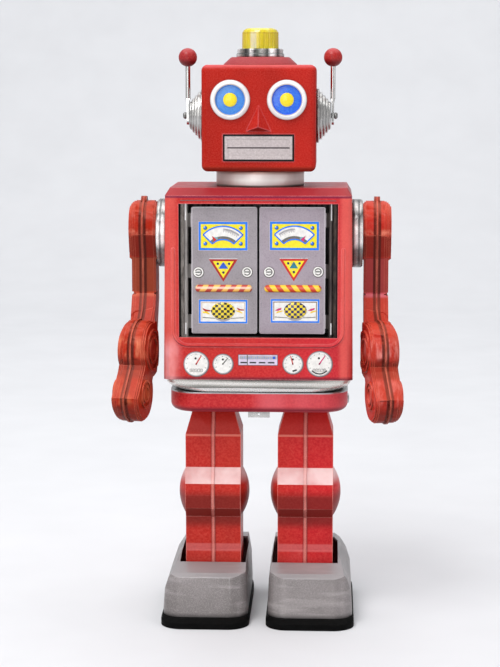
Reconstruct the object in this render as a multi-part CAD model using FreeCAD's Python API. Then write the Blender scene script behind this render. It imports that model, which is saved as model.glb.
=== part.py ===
import FreeCAD, Part
import math, os

os.makedirs("parts", exist_ok=True)
V = FreeCAD.Vector

# ---------------------------------------------------------------- driving sizes (mm)
# +Z up, front of the robot is -Y, left pieces are on -X. Z = 0 is the sole plane.
T_TIN = 0.8            # folded sheet of torso and head
T_PLASTIC = 1.4        # moulded wall of arms and legs
GAP = 0.05             # radial running clearance

TORSO_Z0, TORSO_Z1, TORSO_Z2 = 124.8, 217.3, 221.0
TORSO_HW0, TORSO_HW1, TORSO_HW2 = 47.6, 46.6, 44.4
TORSO_Y, TORSO_YTOP = 31.0, 26.0
WIN_HW, WIN_Z0, WIN_Z1 = 39.7, 146.2, 213.3
DOOR_IN, DOOR_OUT, DOOR_Z0, DOOR_Z1 = 0.55, 33.5, 147.9, 211.6
DOOR_Y0, DOOR_Y1 = -28.0, -26.8
HINGE_X, HINGE_Y, HINGE_R = 36.3, -27.0, 1.0
BAR_Z, BAR_R = 170.7, 1.85
ROD_R = 1.25

TRAY_Z0, TRAY_Z1 = 118.2, 124.8
PEL_HW, PEL_HD, PEL_R, PEL_Z0, PEL_Z1 = 45.3, 27.0, 14.0, 107.0, 117.0
DECK_Z1 = 117.6
HUB_RI, HUB_RO, HUB_Z1 = 10.0, 11.0, 123.6

HEAD_HW, HEAD_Y0, HEAD_Y1, HEAD_Z0, HEAD_Z1 = 28.5, -26.0, 22.0, 228.9, 281.7
HEAD_CY = -2.0
EYE_X, EYE_Z = 14.06, 264.5
EAR_Z = 256.2

ARM_X0, ARM_X1, ARM_AXLE_Z = 52.45, 66.9, 198.0
ARM_SEAM = 0.5 * (ARM_X0 + ARM_X1)
ARM_YAW_L, ARM_YAW_R = 12.0, 12.0   # outward turn of each forearm, degrees
COLLAR_Z, COLLAR_R = 196.3, 17.5

LEG_X, LEG_HW = 23.8, 14.3
HIP_Z, CRANK_Z = 110.5, 115.4
CRANK_THROW = 0.52

MOD = 0.7
A_X, A_Z = 0.0, 178.0
B_X, B_Z = -14.0, 160.51
C_X, C_Z = 0.0, 146.79
D_X, D_Z = 14.2, 150.6


# ---------------------------------------------------------------- helpers
def box(x0, x1, y0, y1, z0, z1):
    return Part.makeBox(x1 - x0, y1 - y0, z1 - z0, V(x0, y0, z0))


def cx(x0, x1, y, z, r):
    return Part.makeCylinder(r, x1 - x0, V(x0, y, z), V(1, 0, 0))


def cy(y0, y1, x, z, r):
    return Part.makeCylinder(r, y1 - y0, V(x, y0, z), V(0, 1, 0))


def cz(z0, z1, x, y, r):
    return Part.makeCylinder(r, z1 - z0, V(x, y, z0), V(0, 0, 1))


def fuse(shapes):
    s = shapes[0]
    if len(shapes) > 1:
        s = s.multiFuse(shapes[1:])
    try:
        s = s.removeSplitter()
    except Exception:
        pass
    return s


def cut(a, tools):
    for t in tools:
        a = a.cut(t)
    return a


def solid1(s):
    # the biggest solid of a boolean result
    if s.Solids:
        return max(s.Solids, key=lambda q: q.Volume)
    return s


def mirror_x(s):
    m = s.mirror(V(0, 0, 0), V(1, 0, 0))
    if m.Volume < 0:
        m.reverse()
    return m


def rot_about_z(s, x, y, deg):
    c = s.copy()
    c.rotate(V(x, y, 0), V(0, 0, 1), deg)
    return c


def rr_wire(x0, x1, y0, y1, r, z):
    # rounded rectangle in a horizontal plane, always 8 edges
    e = []
    pts = [(x0 + r, y0), (x1 - r, y0), (x1, y0 + r), (x1, y1 - r),
           (x1 - r, y1), (x0 + r, y1), (x0, y1 - r), (x0, y0 + r)]
    k = r * (1 - math.sqrt(0.5))
    mids = {1: (x1 - k, y0 + k), 3: (x1 - k, y1 - k), 5: (x0 + k, y1 - k), 7: (x0 + k, y0 + k)}
    for i in range(8):
        a, b = pts[i], pts[(i + 1) % 8]
        if i in mids:
            m = mids[i]
            e.append(Part.Arc(V(a[0], a[1], z), V(m[0], m[1], z), V(b[0], b[1], z)).toShape())
        else:
            e.append(Part.makeLine(V(a[0], a[1], z), V(b[0], b[1], z)))
    return Part.Wire(e)


def rr_loft(secs):
    # secs: (hw, hd, r, z) or (x0, x1, y0, y1, r, z)
    ws = []
    for s in secs:
        if len(s) == 4:
            hw, hd, r, z = s
            ws.append(rr_wire(-hw, hw, -hd, hd, r, z))
        else:
            ws.append(rr_wire(*s))
    out = [Part.makeLoft([ws[i], ws[i + 1]], True, True) for i in range(len(ws) - 1)]
    return fuse(out)


def poly_wire(pts3):
    return Part.makePolygon([V(*p) for p in pts3] + [V(*pts3[0])])


def prism_yz(pts, x0, x1):
    f = Part.Face(poly_wire([(x0, p[0], p[1]) for p in pts]))
    return f.extrude(V(x1 - x0, 0, 0))


def prism_xz(pts, y0, y1):
    f = Part.Face(poly_wire([(p[0], y0, p[1]) for p in pts]))
    return f.extrude(V(0, y1 - y0, 0))


def prism_xy(pts, z0, z1):
    f = Part.Face(poly_wire([(p[0], p[1], z0) for p in pts]))
    return f.extrude(V(0, 0, z1 - z0))


def offset_poly(pts, d):
    # mitred offset of a closed polygon given anticlockwise, d > 0 grows it
    n = len(pts)
    out = []
    for i in range(n):
        p0, p1, p2 = pts[i - 1], pts[i], pts[(i + 1) % n]
        e1 = (p1[0] - p0[0], p1[1] - p0[1])
        e2 = (p2[0] - p1[0], p2[1] - p1[1])
        l1, l2 = math.hypot(*e1), math.hypot(*e2)
        n1 = (e1[1] / l1, -e1[0] / l1)
        n2 = (e2[1] / l2, -e2[0] / l2)
        bx, by = n1[0] + n2[0], n1[1] + n2[1]
        q = bx * n1[0] + by * n1[1]
        out.append((p1[0] + bx * d / q, p1[1] + by * d / q))
    return out


def hull2(c1, r1, c2, r2, x0, x1):
    # convex band round two circles in a YZ plane, extruded along X
    dx, dz = c2[0] - c1[0], c2[1] - c1[1]
    L = math.hypot(dx, dz)
    a = math.atan2(dz, dx)
    b = math.acos((r1 - r2) / L)
    pts = [(c1[0] + r1 * math.cos(a + b), c1[1] + r1 * math.sin(a + b)),
           (c2[0] + r2 * math.cos(a + b), c2[1] + r2 * math.sin(a + b)),
           (c2[0] + r2 * math.cos(a - b), c2[1] + r2 * math.sin(a - b)),
           (c1[0] + r1 * math.cos(a - b), c1[1] + r1 * math.sin(a - b))]
    return fuse([cx(x0, x1, c1[0], c1[1], r1), cx(x0, x1, c2[0], c2[1], r2), prism_yz(pts, x0, x1)])


def revolve(profile, origin, axis, u):
    # profile: (distance along axis, radius); closed polygon touching or off the axis
    ax = V(*axis)
    uu = V(*u)
    o = V(*origin)
    pts = [o + ax * p[0] + uu * p[1] for p in profile]
    w = Part.makePolygon(pts + [pts[0]])
    return Part.Face(w).revolve(o, ax, 360)


def inv_a(x):
    return math.tan(x) - x


def gear2d(z, cxx, czz, phase, bore, y0, y1, add=0.8, ded=1.15, pa=20.0, thin=0.09):
    # spur gear with involute teeth, axis along Y
    r = MOD * z / 2.0
    pa = math.radians(pa)
    rb = r * math.cos(pa)
    ra, rf = r + add * MOD, r - ded * MOD
    th = math.pi / (2 * z) - thin / r
    rad = []
    for q in [rf, max(rb, rf + 0.02), r - 0.18, r, r + 0.25, ra]:
        if not rad or q > rad[-1] + 0.02:
            rad.append(q)

    def half(q):
        if q <= rb:
            q = rb
        return th + inv_a(pa) - inv_a(math.acos(rb / q))
    pts = []
    for k in range(z):
        a = phase + 2 * math.pi * k / z
        for q in rad:
            pts.append((cxx + q * math.cos(a - half(q)), czz + q * math.sin(a - half(q))))
        for q in reversed(rad):
            pts.append((cxx + q * math.cos(a + half(q)), czz + q * math.sin(a + half(q))))
    g = prism_xz(pts, y0, y1)
    if bore:
        g = g.cut(cy(y0 - 1, y1 + 1, cxx, czz, bore))
    return g


def mate_phase(z1, ph1, x1, z1c, z2, x2, z2c):
    beta = math.atan2(z2c - z1c, x2 - x1)
    step = 2 * math.pi / z1
    d1 = (ph1 - beta) % step
    r1, r2 = MOD * z1 / 2, MOD * z2 / 2
    return beta + math.pi - r1 * d1 / r2 + math.pi / z2


NODES = {}


def put(name, shape):
    if not shape.isValid():
        shape.fix(1e-5, 1e-5, 1e-4)
    n = len(shape.Solids)
    bb = shape.BoundBox
    print("%-22s solids %d valid %s vol %9.1f  x %.2f %.2f y %.2f %.2f z %.2f %.2f" % (
        name, n, shape.isValid(), shape.Volume, bb.XMin, bb.XMax, bb.YMin, bb.YMax, bb.ZMin, bb.ZMax))
    NODES[name] = shape


# ---------------------------------------------------------------- pelvis
def pelvis_solid(d, z0, z1, fil):
    s = rr_loft([(PEL_HW - d, PEL_HD - d, PEL_R - d, z0), (PEL_HW - d, PEL_HD - d, PEL_R - d, z1)])
    if fil > 0:
        ed = [e for e in s.Edges if abs(e.BoundBox.ZMax - z0) < 1e-4 and abs(e.BoundBox.ZMin - z0) < 1e-4]
        s = s.makeFillet(fil, ed)
    return s


pel = pelvis_solid(0, PEL_Z0, PEL_Z1, 4.0).cut(pelvis_solid(0.7, PEL_Z0 + 0.7, PEL_Z1 + 2, 3.3))
for s in (-1, 1):
    x0, x1 = sorted((s * 12.5, s * 35.1))
    pel = pel.cut(box(x0, x1, -10.6, 10.6, PEL_Z0 - 1, PEL_Z0 + 2))
pel = cut(pel, [cx(-60, 60, 0, HIP_Z, 1.5)])
pel = cut(pel, [cz(105, 109, s * 3.3, -14.5, 0.9) for s in (-1, 1)])
put("pelvis_shell", solid1(pel))

deck = rr_loft([(PEL_HW, PEL_HD, PEL_R, PEL_Z1), (PEL_HW, PEL_HD, PEL_R, DECK_Z1)])
hub = cz(PEL_Z1, HUB_Z1, 0, 0, HUB_RO)
deck = fuse([deck, hub]).cut(cz(PEL_Z1 - 1, HUB_Z1 + 1, 0, 0, HUB_RI))
strip = box(-2.4, 2.4, -10.4, 10.4, PEL_Z1, DECK_Z1)
deck = fuse([deck, strip]).cut(cz(PEL_Z1 - 1, DECK_Z1 + 1, 0, 0, 1.3))
put("pelvis_deck", solid1(deck))

put("waist_nut", revolve([(118.95, HUB_RO), (118.95, 14.0), (120.2, 14.0), (120.6, 13.6), (120.6, HUB_RO)],
                         (0, 0, 0), (0, 0, 1), (1, 0, 0)))

# rectangular frame under the deck that carries crankshaft and hip pins
fr = box(-10.2, 10.2, -9.1, 9.1, 108.9, PEL_Z1).cut(box(-9.4, 9.4, -8.5, 8.5, 108, PEL_Z1 + 1))
fr = cut(fr, [cx(-20, 20, 0, CRANK_Z, 1.2 + GAP), cx(-20, 20, 0, HIP_Z, 1.5)])
put("crank_frame", solid1(fr))

pins = []
for s in (-1, 1):
    a = [(9.2, 0), (9.2, 1.5), (10.25, 1.5), (10.25, 2.3), (13.1, 2.3), (13.1, 1.5), (34.5, 1.5), (34.5, 2.3),
         (42.8, 2.3), (42.8, 1.5), (45.35, 1.5), (45.35, 2.6), (45.9, 2.4), (46.2, 1.4), (46.25, 0)]
    pins.append(revolve(a, (0, 0, HIP_Z), (s, 0, 0), (0, 1, 0)))
put("hip_pins", Part.makeCompound(pins))

# crankshaft with its pin wheel; two opposed crank pins
sh = [cx(-10.7, 10.7, 0, CRANK_Z, 1.2)]
for s in (-1, 1):
    x0, x1 = sorted((s * 10.6, s * 11.8))
    sh.append(cx(x0, x1, 0, CRANK_Z, 1.5))
    x0, x1 = sorted((s * 11.7, s * 13.0))
    sh.append(cx(x0, x1, 0, CRANK_Z - s * CRANK_THROW, 0.5))
sh.append(cx(-6.3, -5.3, 0, CRANK_Z, 7.1))
sh.append(cx(-7.6, -6.2, 0, CRANK_Z, 2.2))
for k in range(12):
    a = math.radians(30 * k)
    sh.append(cx(-5.4, -3.0, 6 * math.sin(a), CRANK_Z + 6 * math.cos(a), 0.5))
put("crankshaft", fuse(sh))

# lower half of the slip clutch with its hanging lantern pins
ls = [cz(124.5, 125.7, 0, 0, 7.0), cz(117.05, 124.6, 0, 0, 1.25), cz(117.65, 118.5, 0, 0, 2.2)]
for k in range(9):
    a = math.radians(180 + 40 * (k + 0.5))
    ls.append(cz(119.6, 124.6, 4.5 * math.cos(a), 4.5 * math.sin(a), 0.5))
put("leg_drive_shaft", fuse(ls))

# bright latch plate under the front of the pelvis
la = box(-5.5, 5.5, -19.0, -11.5, 106.2, 107.0)
la = fuse([la, box(-5.5, 5.5, -19.0, -18.2, 103.4, 107.0),
           cz(104.9, 106.3, -3.3, -14.5, 1.5), cz(104.9, 106.3, 3.3, -14.5, 1.5)])
la = fuse([la, cz(106.9, 108.6, -3.3, -14.5, 0.88), cz(106.9, 108.6, 3.3, -14.5, 0.88)])
la = cut(la, [box(-3.6, -3.0, -17, -12, 104.0, 105.4), box(3.0, 3.6, -17, -12, 104.0, 105.4), cy(-20, -18, 0, 104.9, 0.6)])
put("under_latch", solid1(la))

# ---------------------------------------------------------------- torso sheet metal
def torso_hw(z):
    return TORSO_HW0 + (TORSO_HW1 - TORSO_HW0) * (z - TORSO_Z0) / (TORSO_Z1 - TORSO_Z0)


def torso_solid(d, z0, ztop):
    return rr_loft([(torso_hw(z0) - d, TORSO_Y - d, 3.0 - 0.9 * d, z0),
                    (TORSO_HW1 - d, TORSO_Y - d, 3.0 - 0.9 * d, TORSO_Z1 - 0.4 * d),
                    (TORSO_HW2 - d, TORSO_YTOP - d, 2.4 - 0.9 * d, ztop)])


sh = torso_solid(0, TORSO_Z0, TORSO_Z2)
inn = torso_solid(T_TIN, TORSO_Z0, TORSO_Z2 - T_TIN)
foot_in = rr_loft([(torso_hw(TORSO_Z0) - T_TIN, TORSO_Y - T_TIN, 2.2, TORSO_Z0 - 1), (torso_hw(TORSO_Z0) - T_TIN, TORSO_Y - T_TIN, 2.2, TORSO_Z0 + 0.01)])
sh = sh.cut(inn).cut(foot_in)
sh = sh.cut(box(-WIN_HW, WIN_HW, -40, -25, WIN_Z0, WIN_Z1))
sh = sh.cut(box(-45.6, 45.6, 28, 40, TORSO_Z0 - 2, 213.0))
sh = sh.cut(cx(-60, 60, 0, ARM_AXLE_Z, 2.5 + GAP))
# raised bead in a U under and beside the window
BX, BZ0, BZ1, BR = 42.5, 142.2, 190.5, 7.5
k = BR * (1 - math.sqrt(0.5))
w = Part.Wire([
    Part.makeLine(V(-BX, -TORSO_Y, BZ1), V(-BX, -TORSO_Y, BZ0 + BR)),
    Part.Arc(V(-BX, -TORSO_Y, BZ0 + BR), V(-BX + k, -TORSO_Y, BZ0 + k), V(-BX + BR, -TORSO_Y, BZ0)).toShape(),
    Part.makeLine(V(-BX + BR, -TORSO_Y, BZ0), V(BX - BR, -TORSO_Y, BZ0)),
    Part.Arc(V(BX - BR, -TORSO_Y, BZ0), V(BX - k, -TORSO_Y, BZ0 + k), V(BX, -TORSO_Y, BZ0 + BR)).toShape(),
    Part.makeLine(V(BX, -TORSO_Y, BZ0 + BR), V(BX, -TORSO_Y, BZ1))])
prof = Part.Wire([Part.makeCircle(0.85, V(-BX, -TORSO_Y, BZ1), V(0, 0, 1))])
bead = w.makePipeShell([prof], True, False)
if bead.Volume < 0:
    bead.reverse()
bead = fuse([bead, Part.makeSphere(0.85, V(-BX, -TORSO_Y, BZ1)), Part.makeSphere(0.85, V(BX, -TORSO_Y, BZ1))])
bead = bead.cut(box(-60, 60, -TORSO_Y + 0.4, 0, 100, 230))
sh = fuse([sh, bead])
# folded tabs that hold the back cover
for s in (-1, 1):
    for z in (138.0, 172.0, 203.0):
        x0, x1 = sorted((s * 42.6, s * (torso_hw(z + 6) - 0.2)))
        sh = fuse([sh, box(x0, x1, TORSO_Y, TORSO_Y + 0.5, z, z + 6)])
put("torso_front_shell", solid1(sh))

cov = fuse([box(-45.55, 45.55, 30.2, 31.0, TORSO_Z0, 212.95), box(-45.1, 45.1, 27.2, 30.3, TORSO_Z0 + 4, 211.0)])
cov = cov.cut(box(-44.5, 44.5, 20, 30.2, TORSO_Z0 + 4.6, 210.4))
cov = cut(cov, [cy(20, 40, A_X, A_Z, 2.7), box(20.5, 28.7, 25, 40, 149.3, 151.9)])
# four pressed stiffening beads
for z in (140.0, 196.0):
    cov = fuse([cov, box(-36, 36, 30.9, 31.5, z, z + 2.0)])
put("torso_back_cover", solid1(cov))

# chest bay behind the doors
bay = box(-40.3, 40.3, -30.15, -8.5, 145.6, 213.9).cut(box(-39.7, 39.7, -31, -9.1, 146.2, 213.3))
for s in (-1, 1):
    bay = bay.cut(cz(140, 220, s * HINGE_X, HINGE_Y, HINGE_R + GAP))
for s in (-1, 1):
    # sheet channel behind each hinge rod
    x0, x1 = sorted((s * 35.2, s * 39.8))
    bay = fuse([bay, box(x0, x1, -25.8, -25.2, 146.1, 213.4)])
bay = fuse([bay, box(-4.4, 4.4, -22.0, -11.0, 213.9, 215.55),
            box(3.25, 4.4, -22.0, -11.0, 213.9, 217.2), box(-4.4, -3.25, -22.0, -11.0, 213.9, 217.2)])
put("weapons_bay", solid1(bay))


def door(s):
    # s = -1 left, +1 right, hinge rod, crank arm and link pin included
    x0, x1 = sorted((s * DOOR_IN, s * DOOR_OUT))
    panel = box(x0, x1, DOOR_Y0, DOOR_Y1, DOOR_Z0, DOOR_Z1)
    ed = [e for e in panel.Edges if abs(e.BoundBox.YMax - e.BoundBox.YMin) > 1.0]
    panel = panel.makeFillet(1.0, ed)
    parts = [panel]
    # thin pressed rim behind the edges
    parts.append(box(x0 + 1.2, x1 - 1.2, DOOR_Y1 - 0.1, DOOR_Y1 + 0.8, DOOR_Z0 + 1.2, DOOR_Z1 - 1.2).cut(
        box(x0 + 2.0, x1 - 2.0, DOOR_Y1 - 1, DOOR_Y1 + 2, DOOR_Z0 + 2.0, DOOR_Z1 - 2.0)))
    # hinge straps
    for z in (150.5, 176.0, 201.5):
        a, b = sorted((s * (DOOR_OUT - 1.0), s * HINGE_X))
        parts.append(box(a, b, HINGE_Y - 0.4, HINGE_Y + 0.2, z, z + 7.0))
    parts.append(cz(145.7, 215.0, s * HINGE_X, HINGE_Y, HINGE_R))
    # striped pressed rod across the door
    zc = BAR_Z
    a, b = sorted((s * 4.9, s * 29.8))
    rod = fuse([cx(a, b, DOOR_Y0, zc, BAR_R), Part.makeSphere(BAR_R, V(a, DOOR_Y0, zc)), Part.makeSphere(BAR_R, V(b, DOOR_Y0, zc))])
    parts.append(rod.cut(box(-60, 60, DOOR_Y1 - 0.3, 0, 100, 230)))
    # crank arm with pin at the rod's top
    L, a0 = 2.5, math.radians(47.5)
    px, py = s * (HINGE_X - L * math.cos(a0)), HINGE_Y + L * math.sin(a0)
    parts.append(cz(214.2, 215.0, px, py, 0.75))
    ux, uy = (px - s * HINGE_X) / L, (py - HINGE_Y) / L
    nx, ny = -uy * 0.7, ux * 0.7
    parts.append(prism_xy([(s * HINGE_X + nx, HINGE_Y + ny), (s * HINGE_X - nx, HINGE_Y - ny), (px - nx, py - ny), (px + nx, py + ny)], 214.2, 215.0))
    parts.append(cz(214.9, 216.3, px, py, 0.5))
    return fuse(parts)


put("door_left", door(-1))
put("door_right", door(1))

py0 = HINGE_Y + 2.5 * math.sin(math.radians(47.5))
lk = box(-36.0, 36.0, py0 - 1.15, py0 + 1.25, 215.6, 216.4)
lk = fuse([lk, box(-3.2, 3.2, py0, -12.5, 215.6, 216.4)])
for s in (-1, 1):
    x0, x1 = sorted((s * 33.05, s * 35.35))
    lk = lk.cut(box(x0, x1, py0 - 0.62, py0 + 0.62, 215, 217))
put("door_link", solid1(lk))

# twin gun barrels on a common foot at the back of the bay
g = [box(-22, 22, -10.1, -9.1, 172, 188)]
for s in (-1, 1):
    g.append(revolve([(9.2, 0), (9.2, 5.5), (13.0, 5.5), (13.6, 4.6), (15.5, 4.6), (15.5, 3.6), (22.2, 3.1), (22.2, 4.2), (24.0, 4.2), (24.0, 1.6), (18.0, 1.6), (18.0, 0)],
                     (s * 13.5, 0, 180), (0, -1, 0), (1, 0, 0)))
put("gun_barrels", fuse(g))

# ---------------------------------------------------------------- waist tray
def tray(d, z0, z1):
    return rr_loft([(43.0 - d, 27.5 - d, 18 - d, z0), (45.4 - d, 29.0 - d, 13 - d, z0 + 2.2 + 0.25 * d),
                    (46.5 - d, 29.9 - d, 7 - d, z1 - 2.0), (46.7 - d, 30.0 - d, 5 - d, z1)])


tr = tray(0, TRAY_Z0, TRAY_Z1)
lip = rr_loft([(46.7, 30.0, 5, TRAY_Z1), (46.7, 30.0, 5, 127.0)])
tr = fuse([tr, lip])
tri = fuse([tray(0.7, TRAY_Z0 + 0.7, TRAY_Z1), rr_loft([(46.0, 29.3, 4.3, TRAY_Z1 - 0.01), (46.0, 29.3, 4.3, 128.0)])])
tr = tr.cut(tri).cut(cz(110, 120, 0, 0, HUB_RO + GAP))
put("waist_tray", solid1(tr))

# ---------------------------------------------------------------- clockwork
br = box(-46.4, 46.4, -12, 24, 130.6, 131.4)
br = fuse([br, box(-46.4, -45.7, -12, 24, 130.6, 137.0), box(45.7, 46.4, -12, 24, 130.6, 137.0)])
br = br.cut(cz(129, 133, 0, 0, 1.25 + GAP))
put("motor_bridge", solid1(br))

GOV_STOP_X = 26.0
plates = []
for y0 in (-7.0, 22.0):
    p = box(-31, 31, y0, y0 + 0.8, 131.4, 200)
    for (x, z) in ((B_X, B_Z), (C_X, C_Z), (D_X, D_Z)):
        p = p.cut(cy(y0 - 1, y0 + 2, x, z, 1.2 + GAP))
    p = p.cut(cy(y0 - 1, y0 + 2, A_X, A_Z, 2.0 + GAP))
    p = cut(p, [cy(y0 - 1, y0 + 2, x, z, 1.3) for x in (-27.5, 27.5) for z in (136.5, 196.5)])
    if y0 > 0:
        p = p.cut(box(20.8, 27.4, y0 - 1, y0 + 2, 149.5, 151.7))
    plates.append(p)
put("motor_plates", Part.makeCompound(plates))

pl = []
for x in (-27.5, 27.5):
    for z in (136.5, 196.5):
        pl.append(fuse([cy(-6.2, 22.0, x, z, 2.0), cy(-7.5, -6.1, x, z, 1.3), cy(21.9, 23.3, x, z, 1.3)]))
put("motor_pillars", Part.makeCompound(pl))

# mainspring: flat coil round the winding arbor
NT, R_IN, R_OUT, TH = 7.0, 2.6, 15.0, 0.5
inner, outer = [], []
N = int(NT * 20)
for i in range(N + 1):
    t = i / N
    a = 2 * math.pi * NT * t
    r = R_IN + (R_OUT - R_IN) * t
    inner.append((A_X + r * math.cos(a), A_Z + r * math.sin(a)))
    outer.append((A_X + (r + TH) * math.cos(a), A_Z + (r + TH) * math.sin(a)))
put("mainspring", prism_xz(inner + outer[::-1], -5.0, 2.6))

# arbor with ratchet wheel
ar = [cy(-6.95, 38.2, A_X, A_Z, 2.0)]
rat = []
for k in range(16):
    a0, a1 = 2 * math.pi * k / 16, 2 * math.pi * (k + 1) / 16
    rat.append((A_X + 5.2 * math.cos(a0), A_Z + 5.2 * math.sin(a0)))
    rat.append((A_X + 6.6 * math.cos(a1 - 0.02), A_Z + 6.6 * math.sin(a1 - 0.02)))
ar.append(prism_xz(rat, 6.7, 7.7))
put("winding_arbor", fuse(ar))

gw = gear2d(48, A_X, A_Z, 0.0, 2.0, 4.6, 6.1)
gw = cut(gw, [cy(3, 8, A_X + 11.0 * math.cos(q), A_Z + 11.0 * math.sin(q), 2.6) for q in (math.radians(54 + 72 * i) for i in range(5)) ])
put("great_wheel", gw)
# click on the great wheel, its tip resting in the ratchet
ck = fuse([cy(6.15, 7.7, A_X + 9.6, A_Z + 4.6, 1.5),
           prism_xz([(A_X + 9.0, A_Z + 5.9), (A_X + 10.6, A_Z + 4.6), (A_X + 7.2, A_Z + 0.6), (A_X + 6.75, A_Z + 1.3)], 6.7, 7.7)])
put("ratchet_click", ck)

kx = [cy(32.6, 40.0, A_X, A_Z, 4.0)]
for s in (-1, 1):
    kx.append(cut(cy(44.2 - 3.0, 44.2 - 1.4, 0, 0, 0.1), []))
kx = [cy(32.6, 40.0, A_X, A_Z, 4.0).cut(cy(32.0, 38.2, A_X, A_Z, 2.0))]
wing = []
for s in (-1, 1):
    wing.append(cz(A_Z - 0.9, A_Z + 0.9, s * 8.6, 41.6, 6.4).cut(cz(A_Z - 2, A_Z + 2, s * 8.8, 41.6, 3.3)))
wing.append(box(-6, 6, 37.0, 44.0, A_Z - 0.9, A_Z + 0.9))
w = fuse(wing).cut(cy(30, 38.2, A_X, A_Z, 2.0))
put("winding_key", solid1(fuse(kx + [w])))

ph48 = 0.0
phB16 = mate_phase(48, ph48, A_X, A_Z, 16, B_X, B_Z)
ph40 = 0.1
phC16 = mate_phase(40, ph40, B_X, B_Z, 16, C_X, C_Z)
ph30 = 0.2
phD12 = mate_phase(30, ph30, C_X, C_Z, 12, D_X, D_Z)

sw = fuse([cy(-6.95, 22.75, B_X, B_Z, 1.2), gear2d(16, B_X, B_Z, phB16, 0, 4.0, 6.9), gear2d(40, B_X, B_Z, ph40, 0, 10.0, 11.4)])
sw = cut(sw, [cy(9, 12, B_X + 8.6 * math.cos(q), B_Z + 8.6 * math.sin(q), 2.4) for q in (math.radians(30 + 72 * i) for i in range(5))])
put("second_wheel", sw)

cw = [cy(-6.95, 22.75, C_X, C_Z, 1.2), cy(5.5, 6.7, C_X, C_Z, 10.1), gear2d(16, C_X, C_Z, phC16, 0, 9.4, 12.0), gear2d(30, C_X, C_Z, ph30, 0, 14.0, 15.4)]
for k in range(18):
    a = math.radians(20 * k)
    cw.append(cy(3.4, 5.6, C_X + 9 * math.sin(a), C_Z - 9 * math.cos(a), 0.5))
put("contrate_wheel", fuse(cw))

gv = [cy(-6.95, 22.75, D_X, D_Z, 1.2), gear2d(12, D_X, D_Z, phD12, 0, 13.6, 15.8), cy(17.0, 17.8, D_X, D_Z, 5.0)]
for s in (-1, 1):
    gv.append(cy(17.7, 20.2, D_X + s * 4.6, D_Z, 2.0))
put("governor", fuse(gv))

ds = [cz(125.75, 126.9, 0, 0, 7.0), cz(126.8, 140.4, 0, 0, 1.25), cz(131.45, 132.3, 0, 0, 2.2),
      cz(134.4, 135.2, 0, 0, 5.2), cz(139.6, 140.4, 0, 0, 5.2)]
for k in range(9):
    a = math.radians(90 + 40 * (k + 0.5))
    ds.append(cz(135.1, 139.7, 4.5 * math.cos(a), 4.5 * math.sin(a), 0.5))
put("drive_shaft", fuse(ds))

# stop lever: thumb tab outside the back cover, brake finger beside the governor
sl = fuse([box(22.5, 29.5, 31.55, 34.0, 148.6, 152.6), box(25.0, 27.0, 29.0, 31.7, 149.4, 151.8),
           box(22.0, 28.0, 29.2, 30.1, 148.4, 152.8), cy(17.6, 29.5, GOV_STOP_X, 150.6, 0.8)])
sl = sl.cut(cz(140, 160, 24.5, 34.6, 1.2)).cut(cz(140, 160, 27.5, 34.6, 1.2))
put("stop_lever", solid1(sl))

# ---------------------------------------------------------------- head
nk = cz(TORSO_Z2, HEAD_Z0, 0, HEAD_CY, 22.4).cut(cz(TORSO_Z2 - 1, HEAD_Z0 + 1, 0, HEAD_CY, 21.4))
put("neck_collar", nk)


def head_solid(d):
    b = box(-HEAD_HW + d, HEAD_HW - d, HEAD_Y0 + d, HEAD_Y1 - d, HEAD_Z0 + d, HEAD_Z1 - d)
    return b.makeFillet(3.0 - d, b.Edges)


hd = head_solid(0).cut(head_solid(T_TIN))
hd = hd.cut(box(-17.75, 17.75, -30, -20, 234.1, 247.5))
hd = cut(hd, [cy(-30, -20, s * EYE_X, EYE_Z, 6.0) for s in (-1, 1)])
hd = hd.cut(cx(-60, 60, HEAD_CY, EAR_Z, 1.6))
hd = hd.cut(cz(228, 232, 0, HEAD_CY, 18.0))
p = [V(0, HEAD_Y0, 261.9), V(-6.3, HEAD_Y0, 248.9), V(6.3, HEAD_Y0, 248.9), V(0, HEAD_Y0 - 5.0, 251.2)]
q = [V(v.x, HEAD_Y0 + 0.3, v.z) for v in p[:3]]


def tri(a, b, c):
    return Part.Face(Part.makePolygon([a, b, c, a]))


def quad(a, b, c, d):
    return Part.Face(Part.makePolygon([a, b, c, d, a]))


nose = Part.Solid(Part.Shell([tri(p[0], p[1], p[3]), tri(p[1], p[2], p[3]), tri(p[2], p[0], p[3]),
                              tri(q[0], q[2], q[1]), quad(p[0], p[1], q[1], q[0]), quad(p[1], p[2], q[2], q[1]), quad(p[2], p[0], q[0], q[2])]))
if nose.Volume < 0:
    nose.reverse()
hd = fuse([hd, nose])
put("head_shell", solid1(hd))

# mouth grille plate set in its opening
mo = box(-17.3, 17.3, -26.8, -25.0, 234.6, 247.0)
ed = [e for e in mo.Edges if e.BoundBox.YLength > 1.0]
mo = mo.makeFillet(0.8, ed)
mo = mo.cut(box(-15.2, 15.2, -27.5, -26.3, 236.4, 245.2))
mo = fuse([mo, box(-15.2, 15.2, -26.55, -26.2, 236.4, 240.5), box(-15.2, 15.2, -26.55, -26.2, 241.1, 245.2),
           box(-18.4, 18.4, -25.15, -24.6, 233.4, 248.2)])
put("mouth_plate", solid1(mo))

bz, ed2 = [], []
for s in (-1, 1):
    bz.append(revolve([(26.0, 6.9), (26.0, 9.9), (26.7, 9.9), (27.5, 9.2), (28.0, 8.3), (27.8, 7.4), (27.2, 6.9)],
                      (s * EYE_X, 0, EYE_Z), (0, -1, 0), (1, 0, 0)))
    ed2.append(revolve([(25.2, 0), (25.2, 5.95), (26.0, 5.95), (26.0, 6.9), (26.7, 6.9), (26.85, 3.6), (27.3, 3.3), (27.7, 2.2), (27.9, 0)],
                       (s * EYE_X, 0, EYE_Z), (0, -1, 0), (1, 0, 0)))
put("eye_bezels", Part.makeCompound(bz))
put("eye_discs", Part.makeCompound(ed2))

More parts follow.
